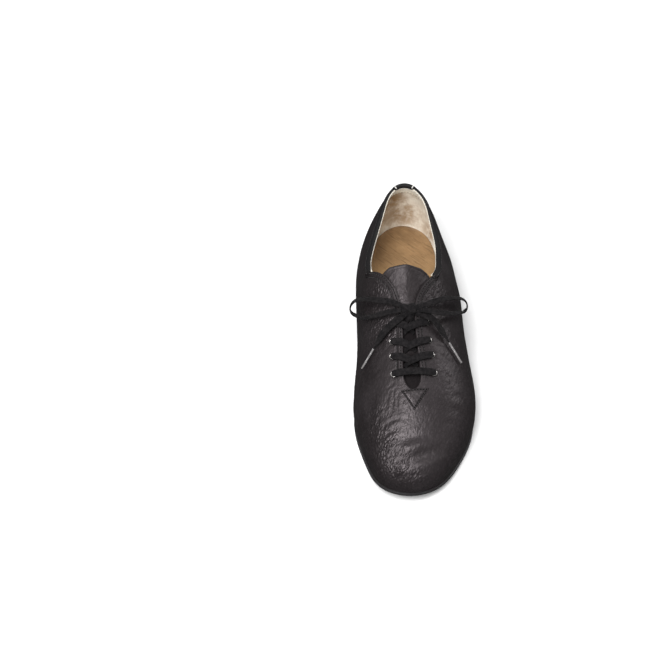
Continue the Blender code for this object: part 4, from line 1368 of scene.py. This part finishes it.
def make_upper():
    grids = [upper_grid(side, LOW_ROWS, HIGH_ROWS, COLUMNS[side], EDGES[side]) for side in SIDES]
    verts, normals, faces, rims = sewn_mesh(grids)
    over = crease_relief(verts)
    facing = edge_distance(verts, "facing")
    topline = edge_distance(verts, "topline")
    calm = smooth_step(np.minimum(facing, topline), 2.0 * MM, 7.0 * MM)
    over = over * (0.25 + 0.75 * calm)
    d = facing / MM
    band = 1 - smooth_step(crown_shares(verts)[0], BAND_END - 0.012, BAND_END + 0.010)
    folded = 0.32 * smooth_step(d, 0.0, 0.7) * (1 - smooth_step(d, FACING_BAND - 0.3, FACING_BAND + 0.5))
    rolled = -0.50 * np.clip(1 - d / 0.8, 0, 1) ** 2
    rows = -0.16 * sum(bell(d, row, 0.45) for row in FACING_ROWS)
    over = over + (folded * band + rolled + rows * band) * MM
    # Painted shade: the facing's stitch rows, and the collar's stitch row below, are darkened in colour as
    # grooves.
    painted_shade = 0.8 * band * sum(bell(d, row, 0.5) for row in FACING_ROWS)
    d = topline / MM
    row = bell(d, COLLAR_ROW, 0.6)
    over = over - 0.25 * MM * row - 0.10 * MM * np.clip(1 - d / 2.0, 0, 1)
    painted_shade = np.clip(painted_shade + 0.6 * row, 0, 1)
    for pair in PAIRS:
        for across in (pair.medial, pair.lateral):
            place = eyelet_frame(pair.along, across)[0]
            distance = np.linalg.norm(verts - place, axis=1) / MM
            over = over - 0.14 * MM * bell(distance, 2.6, 0.7)
            over = over - 0.9 * MM * (1 - smooth_step(distance, 1.2, 2.2))
    low = verts[:, 2] - seat_height(HEEL_END - verts[:, 1])
    over = over * smooth_step(low, 0.0, 0.004)
    leather_shell = shell("upper_leather", verts, normals, faces, rims, over, OUTER_LEATHER)
    mark(leather_shell, "grain", np.maximum(grain_amount(verts) - 0.5 * (facing < 4 * MM), 0))
    mark(leather_shell, "painted_shade", painted_shade)
    dress(leather_shell, LEATHER, ["upper"])


def make_lining():
    grids = []
    for side in SIDES:
        columns, edges = COLUMNS[side][::2], EDGES[side][::2]
        if columns[-1] != TIP:
            columns, edges = np.append(columns, TIP), np.append(edges, 1.0)
        corner = corner_section(side)
        short = 1.3 * MM * smooth_step(columns, corner - 0.1, corner + 0.25)
        edges = np.where(edges < 1, edges - short / wall_speed(side, columns, edges), 1.0)
        grids.append(upper_grid(side, 6, 26, columns, edges))
    verts, normals, faces, rims = sewn_mesh(grids)
    wrinkle = np.zeros(len(verts))
    for k, (fy, fz, phase) in enumerate(((210, 90, 0.3), (120, 260, 1.7), (330, 150, 2.9))):
        wrinkle += np.sin(verts[:, 1] * fy + verts[:, 2] * fz + verts[:, 0] * 60 + phase) / (k + 1.5)
    edge = np.minimum(edge_distance(verts, "facing"), edge_distance(verts, "topline"))
    calm = smooth_step(edge, 0.0, 8 * MM)
    under = WALL + 0.16 * MM * wrinkle * calm - 0.25 * MM * (1 - smooth_step(edge, 0.0, 1.0 * MM))
    over = np.full(len(verts), -(OUTER_LEATHER + 0.05 * MM))
    lining = shell("upper_lining", verts, normals, faces, rims, over, under)
    mark(lining, "soil_and_shade", soil_and_shade_amount(verts))
    dress(lining, CANVAS)


def soil_and_shade_amount(verts):
    """How much the lining is darkened, by real soil and by painted shade near the insole: most at the heel's
    back, and low down on the medial wall.
    """
    amount = np.zeros(len(verts))
    for centre, reach, most in SOIL_AND_SHADE_SPOTS:
        amount = np.maximum(amount, most * bell(np.linalg.norm(verts - centre, axis=1), 0, reach))
    return amount


make_upper()
make_lining()


# Stitches.


Stitch = namedtuple("Stitch", "pitch length radius")
FACING_STITCH = Stitch(2.3 * MM, 1.75 * MM, 0.26 * MM)
TRIANGLE_STITCH = Stitch(1.9 * MM, 1.4 * MM, 0.22 * MM)
COLLAR_STITCH = Stitch(2.4 * MM, 1.7 * MM, 0.24 * MM)
EDGE_STITCH = Stitch(2.0 * MM, 1.35 * MM, 0.26 * MM)
TONGUE_STITCH = Stitch(2.2 * MM, 1.6 * MM, 0.22 * MM)


def stitch_parts(line, normals, stitch):
    """Short threads along a line, their ends drawn into the leather."""
    run = run_of(line)
    count = int(run[-1] / stitch.pitch)
    parts = []
    angle = np.linspace(0, 2 * math.pi, 6, endpoint=False)
    for k in range(count):
        middle = (k + 0.5) * run[-1] / count
        at = np.clip(middle + np.array([-0.5, -0.36, 0.0, 0.36, 0.5]) * stitch.length, 0, run[-1])
        normal = unit(read_at(normals, run, middle))
        lift = np.array([-1.2, 0.2, 0.5, 0.2, -1.2]) * stitch.radius
        points = read_at(line, run, at) + normal * lift[:, None]
        tangent = unit(points[-1] - points[0])
        side = np.cross(normal, tangent)
        size = np.array([0.5, 0.9, 1.0, 0.9, 0.5]) * stitch.radius
        around = np.cos(angle)[:, None] * side + np.sin(angle)[:, None] * normal
        parts.append(swept(points[:, None] + around[None] * size[:, None, None]))
    return parts


def beside(line, side, distance, above):
    """The line on the upper's form at a distance from its facing edge, and the normals there."""
    along, across = crown_shares(line)
    normal = crown_normal(along, across)
    tangent = unit(np.gradient(line, axis=0))
    away = unit(np.cross(normal, tangent))
    towards = np.sign((away * np.array((side, 0, 0))).sum(-1).mean())
    moved = line + away * towards * distance
    along, across = crown_shares(moved)
    return on_crown(along, across, above), crown_normal(along, across)


# How closely a row's line is read, and how near to an eyelet's middle a stitch may come.
ROW_SPACING = 0.6 * MM
EYELET_CLEAR = 2.9 * MM


def facing_rows():
    parts = []
    centres = [eyelet_frame(row.along, across)[0] for row in PAIRS for across in (row.medial, row.lateral)]
    for side in SIDES:
        edge = resample(edge_line(side, "facing"), ROW_SPACING)
        edge = edge[crown_shares(edge)[0] < BAND_END]
        for distance in FACING_ROWS:
            line, normals = beside(edge, side, distance * MM, 0.10 * MM)
            skip = max(int(distance * MM / ROW_SPACING) - 2, 0)
            line, normals = line[skip:], normals[skip:]
            away = np.array([min(np.linalg.norm(point - centre) for centre in centres) for point in line])
            for part in stitch_parts(line, normals, FACING_STITCH):
                nearest = np.linalg.norm(line - np.mean(part[0], axis=0), axis=1).argmin()
                if away[nearest] > EYELET_CLEAR:
                    parts.append(part)
    return parts


# The triangle's mesh steps, its height, and its stitch row's distance from the rim, in millimetres.
PATCH_STEPS = 64
PATCH_RISE = 0.60
PATCH_ROW = 1.0


def make_triangle():
    """The leather triangle sewn over the slit's lower end, its rim turned down and its stitch row sunk in."""
    corners = np.array([(a * LENGTH, b * BALL_WIDTH) for a, b in TRIANGLE])
    lines = unit(np.roll(corners, -1, axis=0) - corners)
    centre = corners.mean(0)
    flat, faces, start = [], [], {}
    for i in range(PATCH_STEPS + 1):
        for j in range(PATCH_STEPS + 1 - i):
            start[i, j] = len(flat)
            share = np.array((i, j, PATCH_STEPS - i - j)) / PATCH_STEPS
            flat.append(share @ corners)
    for i in range(PATCH_STEPS):
        for j in range(PATCH_STEPS - i):
            faces.append((start[i, j], start[i + 1, j], start[i, j + 1]))
            if i + j < PATCH_STEPS - 1:
                faces.append((start[i + 1, j], start[i + 1, j + 1], start[i, j + 1]))
    flat = np.array(flat)
    inside = np.full(len(flat), FAR)
    for corner, run in zip(corners, lines):
        inward = np.array((-run[1], run[0]))
        inward = inward * np.sign((centre - corner) @ inward)
        inside = np.minimum(inside, (flat - corner) @ inward / MM)
    rise = PATCH_RISE * np.sqrt(np.clip(inside / 0.55, 0, 1)) - 0.12
    row = bell(inside, PATCH_ROW, 0.36)
    rise = rise - 0.40 * row + 0.10 * smooth_step(inside, 1.4, 2.6)
    along, across = flat[:, 0] / LENGTH, flat[:, 1] / BALL_WIDTH
    upper_side = on_crown(along, across, rise * MM)
    lower_side = on_crown(along, across, np.full(len(flat), -0.45 * MM))
    count = len(flat)
    normal = crown_normal(along, across)
    a, b, c = (upper_side[list(column)] for column in zip(*faces))
    turned = (np.cross(b - a, c - a) * normal[[face[0] for face in faces]]).sum() < 0
    if turned:
        faces = [face[::-1] for face in faces]
    edges = {}
    for face in faces:
        for k in range(3):
            edges[face[k], face[(k + 1) % 3]] = True
    rims = [(u, v) for u, v in edges if (v, u) not in edges]
    all_faces = faces + [tuple(i + count for i in face[::-1]) for face in faces]
    all_faces += [(v, u, u + count, v + count) for u, v in rims]
    patch = mesh_object("triangle_patch", np.concatenate([upper_side, lower_side]), all_faces, sharp=60)
    mark(patch, "grain", np.full(count, 0.25))
    # Painted shade along the sunk stitch row and round the rim, where the triangle meets the upper.
    mark(patch, "painted_shade", np.clip(row + (1 - smooth_step(inside, 0.1, 0.5)), 0, 1))
    dress(outward(patch), LEATHER)


def triangle_rows():
    parts = []
    corners = [np.array((a * LENGTH, b * BALL_WIDTH)) for a, b in TRIANGLE]
    inner = []
    for k in range(3):
        before, here, after = corners[k - 1], corners[k], corners[(k + 1) % 3]
        one, two = unit(before - here), unit(after - here)
        half = math.acos(float(np.clip(one @ two, -1, 1))) / 2
        inner.append(here + unit(one + two) * PATCH_ROW * MM / math.sin(half))
    share = np.linspace(0, 1, 30)[:, None]
    for first, last in zip(inner, inner[1:] + inner[:1]):
        along, across = ((first * (1 - share) + last * share) / np.array((LENGTH, BALL_WIDTH))).T
        line = on_crown(along, across, 0.10 * MM)
        parts += stitch_parts(line, crown_normal(along, across), TRIANGLE_STITCH)
    return parts


def wall_line(side, first, below, depth):
    """A line round the collar at a distance below the topline and a depth into the wall, with the normals
    there."""
    columns = COLUMNS[side]
    pick = (columns >= first) & (columns <= corner_section(side) + 1e-9)
    q, t = columns[pick], EDGES[side][pick]
    lower = t - below / wall_speed(side, q, t)
    normal = last_normal(side, np.maximum(q, 1e-3), lower)
    return last_point(side, q, lower) - normal * depth, normal


def collar_rows(below, depth, flip):
    """A stitch row round the collar; flip is 1 on the outside and -1 on the inside."""
    parts = []
    for side in SIDES:
        line, normals = wall_line(side, 0.0, below, depth)
        parts += stitch_parts(line, normals * flip, COLLAR_STITCH)
    return parts


def stitch_piece(name, parts, finish):
    dress(outward(joined(name, parts)), finish)


stitch_piece("stitches_facing", facing_rows(), BLACK_THREAD)
make_triangle()
stitch_piece("stitches_triangle", triangle_rows(), BLACK_THREAD)
stitch_piece("stitches_collar", collar_rows(COLLAR_ROW * MM, 0.12 * MM, 1), BLACK_THREAD)


# The collar: cream tape inside, black binding over the edge, and the heel's tab.

# The tape's cross-section: depth in from the upper's outer form, and distance below the topline, in
# millimetres.
TAPE_DEPTH = 8.5
TAPE_SECTION = [
    (1.80, -1.22), (2.15, -1.22), (2.40, -0.95), (2.47, -0.30), (2.47, 1.50), (2.47, 3.50), (2.46, 5.50),
    (2.42, 7.30), (2.34, 8.20), (2.16, TAPE_DEPTH), (2.04, TAPE_DEPTH), (2.04, 4.00), (2.04, -0.10),
    (1.60, -0.16), (1.56, -0.90),
]


def make_collar_tape():
    """A cream tape inside the collar, from beside the binding's top down to its lower edge, sewn along
    both."""
    sides = []
    for side in SIDES:
        lines = [wall_line(side, 0.0, below * MM, depth * MM)[0] for depth, below in TAPE_SECTION]
        sides.append(np.stack(lines, 1))
    loop = np.concatenate([sides[0][::-1], sides[1][1:]])
    tape = mesh_object("collar_tape", *swept(loop), sharp=60)
    dress(outward(tape), CREAM_TAPE)
    upper_row = collar_rows(0.9 * MM, 2.55 * MM, -1)
    lower_row = collar_rows((TAPE_DEPTH - 1.4) * MM, 2.47 * MM, -1)
    stitch_piece("stitches_tape", lower_row, CREAM_THREAD)
    top_row = []
    for side in SIDES:
        line, normals = wall_line(side, tab_section() + 0.05, -1.24 * MM, 1.98 * MM)
        up = unit(np.array((0, 0, 1.0)) - 0.4 * normals)
        top_row += stitch_parts(line, up, EDGE_STITCH)
    stitch_piece("stitches_collar_edge", upper_row + top_row, WHITE_THREAD)


# The cross-sections of the binding and the heel's tab, from the outer leg over the top to the inner leg: out
# from the wall's middle, and up from the topline, in millimetres.
BINDING_SECTION = [
    (1.36, -2.30), (1.46, -1.60), (1.46, 0.20), (1.38, 1.00), (1.00, 1.60), (0.45, 1.85), (-0.15, 1.78),
    (-0.48, 1.40), (-0.54, 0.80), (-0.50, 0.12), (1.06, 0.12), (1.06, -2.30),
]


def tab_section():
    places = np.linspace(0, 3, 61)
    line = np.array([last_point(1, q, edge_share(1, q)) for q in places])
    run = run_of(line)
    return float(np.interp(TAB_HALF_WIDTH, run, places))


def folded_rings(side, q, section):
    """Rings of a strip folded over the topline at sections q."""
    t = np.array([edge_share(side, value) for value in q])
    top = last_point(side, q, t)
    normal = last_normal(side, np.maximum(q, 1e-3), t)
    up = unit(top - last_point(side, q, t - WALL_STEP))
    middle = top - normal * WALL / 2
    return np.stack([middle + normal * out * MM + up * rise * MM for out, rise in section], 1)


def make_binding():
    first = tab_section() + 0.02
    for side, label in ((-1, "medial"), (1, "lateral")):
        corner = corner_section(side)
        columns = COLUMNS[side]
        between = columns[(columns > first + 0.02) & (columns < corner - 0.004)]
        rings = folded_rings(side, np.concatenate([[first], between, [corner]]), BINDING_SECTION)
        middles = rings.mean(1, keepdims=True)
        run = run_of(middles[:, 0])
        size = 0.45 + 0.55 * smooth_step(run[-1] - run, 0.0, 0.006)[:, None, None]
        rings = middles + (rings - middles) * size
        binding = mesh_object("binding_" + label, *swept(rings), sharp=50)
        dress(outward(binding), TAPE, ["binding_" + label])


TAB_SECTION = [
    (1.60, -3.40), (1.74, -2.60), (1.76, -0.40), (1.70, 1.20), (1.40, 2.20), (0.75, 2.80), (-0.30, 2.90),
    (-1.10, 2.40), (-1.50, 1.40), (-1.56, 0.40), (-1.50, -0.60),
    (-1.12, -0.60), (-1.10, 0.20), (1.10, 0.20), (1.10, -3.40),
]


def make_tab():
    """The tab over the heel's back, pinched at both ends, where two white threads tack it down."""
    halves = [folded_rings(side, np.linspace(0, tab_section(), 14), TAB_SECTION) for side in SIDES]
    rings = np.concatenate([halves[0][::-1], halves[1][1:]])
    count = len(rings)
    share = np.abs(np.linspace(-1, 1, count))
    centres = rings.mean(1, keepdims=True)
    pinch = 1 - 0.10 * smooth_step(share, 0.75, 1.0)[:, None, None]
    rings = centres + (rings - centres) * pinch
    tab = mesh_object("heel_tab", *swept(rings), sharp=50)
    dress(outward(tab), TAPE, ["heel_tab"])
    parts = []
    for index in (2, count - 3):
        path = through(rings[index][1:11], 4)
        centre = rings[index].mean(0)
        tangent = unit(rings[index + 1].mean(0) - rings[index - 1].mean(0))
        away = unit(path - centre)
        for k in range(2):
            line = path + tangent * (k - 0.5) * 0.34 * MM + away * 0.12 * MM
            line = line[6 + k : -12 + k]
            parts.append(swept(lace_rings(line, np.repeat(tangent[None], len(line), 0), 0.00040, 0.00034)))
    stitch_piece("bar_tacks", parts, WHITE_THREAD)


make_collar_tape()
make_binding()
make_tab()


# The tongue: leather above, cream cloth below.


# The leather's and the cloth's top faces, from the solid's top face.
TONGUE_TOP = -0.0001
TONGUE_CLOTH = -0.0014


def tongue_points(count, across_count, above):
    depth = WALL + TONGUE_CLEARANCE
    steps = np.linspace(0, len(TONGUE) - 1, count)
    values = [spline(column, steps, False, False) for column in zip(*TONGUE)]
    across = np.linspace(-1, 1, across_count)
    bulge = (1 - across**2) ** 3
    points = []
    for along, middle, half, rise, edge in zip(*values):
        row = on_crown(along, middle + half * across, above - depth)
        row[:, 2] += (edge + (rise - edge) * bulge) * INSTEP_HEIGHT
        points.append(row)
    return np.array(points)


TONGUE_ROW = 2.2


def make_tongue():
    """The tongue with a stitch row round its free edge, a little darker in the throat's shadow."""
    top = tongue_points(110, 45, TONGUE_TOP)
    verts, normals, faces, rims = sewn_mesh([(top, False)])
    edge = np.concatenate([top[::-1, 0], top[0], top[:, -1], top[-1, ::-1]])
    d = distance_to(verts, edge)[0] / MM
    over = -0.45 * np.clip(1 - d / 0.8, 0, 1) ** 2 - 0.12 * bell(d, TONGUE_ROW, 0.5)
    for a, b, c, depth in ((320, 90, 0.4, 0.10), (150, 240, 1.9, 0.12), (540, 60, 3.0, 0.05)):
        over = over + depth * np.sin(verts[:, 1] * a + verts[:, 0] * b + c) * smooth_step(d, 0.5, 5.0)
    tongue = shell("tongue_leather", verts, normals, faces, rims, over * MM, 1.25 * MM)
    along = crown_shares(verts)[0]
    # Painted shadow on the tongue from below the knot down the slit, eased at one spot.
    mark(tongue, "painted_shade", 0.65 * smooth_step(along, 0.545, 0.585) * (1 - 0.6 * bell(along, 0.630, 0.012)))
    dress(tongue, TONGUE_LEATHER, ["tongue"])
    verts, normals, faces, rims = sewn_mesh([(tongue_points(70, 31, TONGUE_CLOTH), False)])
    cloth_shell = shell("tongue_lining", verts, normals, faces, rims, np.zeros(len(verts)), 0.70 * MM)
    dress(cloth_shell, CANVAS)
    parts = stitch_parts(*tongue_row_line(TONGUE_ROW * MM), TONGUE_STITCH)
    stitch_piece("stitches_tongue", parts, BLACK_THREAD)


def tongue_row_line(inset):
    """The stitch row that follows the tongue's free edge."""
    grid = tongue_points(160, 61, TONGUE_TOP)
    verts, normals = sewn_mesh([(grid, False)])[:2]
    last = len(grid) - 9
    left, right = [], []
    for row in grid[int(len(grid) * 0.62) : last]:
        run = run_of(row)
        left.append(read_at(row, run, inset))
        right.append(read_at(row, run, run[-1] - inset))
    run = run_of(grid[last])
    top = read_at(grid[last], run, np.linspace(inset, run[-1] - inset, 24)[1:-1])
    line = resample(np.array(left + list(top) + right[::-1]), 0.7 * MM)
    nearest = [np.linalg.norm(verts - point, axis=1).argmin() for point in line]
    return line, normals[nearest]


make_tongue()


# Eyelets.


def make_eyelets():
    flange = [
        (EYELET_BORE + 0.55 * MM * (1 - math.cos(a)), GAP + (EYELET_FLANGE + 0.05 * MM) * math.sin(a))
        for a in np.linspace(0.0, math.pi, 11)
    ]
    profile = flange + [
        (EYELET_RADIUS - 0.15 * MM, GAP - 0.12 * MM),
        (EYELET_BARREL + 0.1 * MM, GAP - 0.10 * MM),
        (EYELET_BARREL, GAP - 0.3 * MM),
        (EYELET_BARREL, -WALL + 0.15 * MM),
        (EYELET_BARREL + 0.25 * MM, -WALL - 0.05 * MM),
        (EYELET_BARREL + 0.15 * MM, -WALL - 0.22 * MM),
        (EYELET_BORE + 0.05 * MM, -WALL - 0.12 * MM),
        (EYELET_BORE, -WALL + 0.2 * MM),
    ]
    angle = np.linspace(0, 2 * math.pi, 40, endpoint=False)
    for number, pair in enumerate(PAIRS, 1):
        for label, across in (("medial", pair.medial), ("lateral", pair.lateral)):
            place, normal = eyelet_frame(pair.along, across)
            first = unit(np.cross(normal, (0, 1, 0)))
            second = np.cross(normal, first)
            rings = [
                [place + (math.cos(a) * first + math.sin(a) * second) * r + normal * z for r, z in profile]
                for a in angle
            ]
            name = f"eyelet_{label}_{number}"
            eyelet = mesh_object(name, *swept(np.array(rings), closed=True), sharp=70)
            dress(outward(eyelet), NICKEL, [name])


make_eyelets()


# Sole, heel and insole.


def rim_solid(name, sections, profile, columns, crown=None):
    """A sheet shaped to the foot's outline. The profile runs from its top edge to its bottom edge: out from
    the feather line, down from its height, and the share of the wall's flare that it follows."""
    edges = []
    for out, drop, flare in profile:
        medial, lateral = foot_outline(sections, out, flare)
        rims = (medial, lateral)
        edges.append([np.column_stack([rim, seat_height(HEEL_END - rim[:, 1]) - drop]) for rim in rims])
    share = np.linspace(0, 1, columns + 1)[None, :, None]
    rings = []
    top = edges[0][0][:, None] * (1 - share) + edges[0][1][:, None] * share
    top[..., 2] = seat_height(HEEL_END - top[..., 1]) - profile[0][1]
    if crown is not None:
        top[..., 2] += crown(top, share[..., 0])
    bottom = edges[-1][1][:, None] * (1 - share) + edges[-1][0][:, None] * share
    bottom[..., 2] = seat_height(HEEL_END - bottom[..., 1]) - profile[-1][1]
    for i in range(len(sections)):
        ring = list(top[i])
        ring += [edge[1][i] for edge in edges[1:-1]]
        ring += list(bottom[i])
        ring += [edge[0][i] for edge in edges[-2:0:-1]]
        rings.append(ring)
    verts, faces = swept(np.array(rings), capped=False)
    made = mesh_object(name, verts, faces, smooth=False)
    shape = bmesh.new()
    shape.from_mesh(made.data)
    bmesh.ops.remove_doubles(shape, verts=shape.verts, dist=RIM_MERGE)
    bmesh.ops.dissolve_degenerate(shape, edges=shape.edges, dist=NO_LENGTH)
    loose = [edge for edge in shape.edges if len(edge.link_faces) == 1]
    if loose:
        bmesh.ops.holes_fill(shape, edges=loose, sides=0)
    bmesh.ops.recalc_face_normals(shape, faces=shape.faces)
    shape.to_mesh(made.data)
    shape.free()
    made.data.shade_smooth()
    made.data.set_sharp_from_angle(angle=math.radians(50))
    return made


def make_sole():
    sections = np.concatenate([np.linspace(0, 4, 41)[:-1], np.linspace(4, TIP - 0.02, 150), [TIP]])
    low = GAP + SOLE_THICKNESS
    profile = [
        (SOLE_EDGE - 0.9 * MM, GAP, 0),
        (SOLE_EDGE - 0.25 * MM, GAP + 0.10 * MM, 0),
        (SOLE_EDGE, GAP + 0.45 * MM, 0),
        (SOLE_EDGE, low - 1.1 * MM, 0),
        (SOLE_EDGE - 0.15 * MM, low - 0.45 * MM, 0),
        (SOLE_EDGE - 0.60 * MM, low - 0.08 * MM, 0),
        (SOLE_EDGE - 1.20 * MM, low, 0),
    ]
    sole = rim_solid("outsole", sections, profile, 12)
    dress(sole, SOLE, ["outsole"])


def make_insole():
    sections = np.concatenate([np.linspace(0, 4, 33)[:-1], np.linspace(4, TIP - 0.02, 110), [TIP]])
    inset = WALL + 2 * GAP
    thick = INSOLE_THICKNESS

    def dish(points, share):
        edge = np.minimum(share, 1 - share)
        return 0.9 * MM * (1 - smooth_step(edge, 0.0, 0.10)) - 0.25 * MM * np.sin(np.pi * share)

    profile = [
        (-inset - 0.35 * MM, -thick, 0.33),
        (-inset - 0.05 * MM, -thick - 0.45 * MM, 0.35),
        (-inset, -thick + 0.10 * MM, 0.34),
        (-inset - 0.10 * MM, 0.0, 0),
    ]
    insole = rim_solid("insole", sections, profile, 28, dish)
    dress(insole, TAN, ["insole"])


# The heel's rings: depth as a share of its height, and how much further in they lie, in millimetres.
HEEL_RINGS = [
    (0.0, 0.0), (0.10, 0.0), (0.20, 0.0), (0.30, 0.0), (0.42, 0.0), (0.54, 0.0), (0.66, 0.0), (0.72, 0.0),
    (0.735, 0.28), (0.75, 0.28), (0.765, 0.0), (0.80, 0.0), (0.90, 0.0), (0.965, 0.12), (1.0, 0.65),
]


def make_heel():
    """The low heel with its sloped breast, a fine line above its top lift and rounded lower edges."""
    depths, extra = zip(*HEEL_RINGS)
    at = [row.depth for row in HEEL_LAYERS]
    steps = np.interp(depths, at, range(len(at)))
    breasts = spline([row.breast for row in HEEL_LAYERS], steps, False, False)
    insets = spline([row.inset for row in HEEL_LAYERS], steps, False, False)
    rings = []
    for depth, breast, inset, more in zip(depths, breasts, insets, extra):
        limit = section_at(breast)
        sections = np.linspace(0, limit, 34)
        inward = HEEL_INSET * inset + more * MM
        medial, lateral = foot_outline(np.append(sections, limit + 0.2), -inward)
        back = np.concatenate([medial[-2:0:-1], lateral[:-1]])
        fore = np.linspace(0, 1, 16)[1:-1, None]
        front = back[-1] * (1 - fore) + back[0] * fore
        front[:, 1] += 0.6 * MM * np.sin(np.pi * fore[:, 0]) + more * MM
        ring = np.concatenate([back, front])
        top = seat_height(HEEL_END - ring[:, 1]) - SOLE_TOP - GAP
        rings.append(np.column_stack([ring, top * (1 - depth)]))
    heel = mesh_object("heel", *swept(np.array(rings)), sharp=45)
    dress(outward(heel), HEEL_RUBBER, ["heel"])


make_sole()
make_insole()
make_heel()
make_studio()
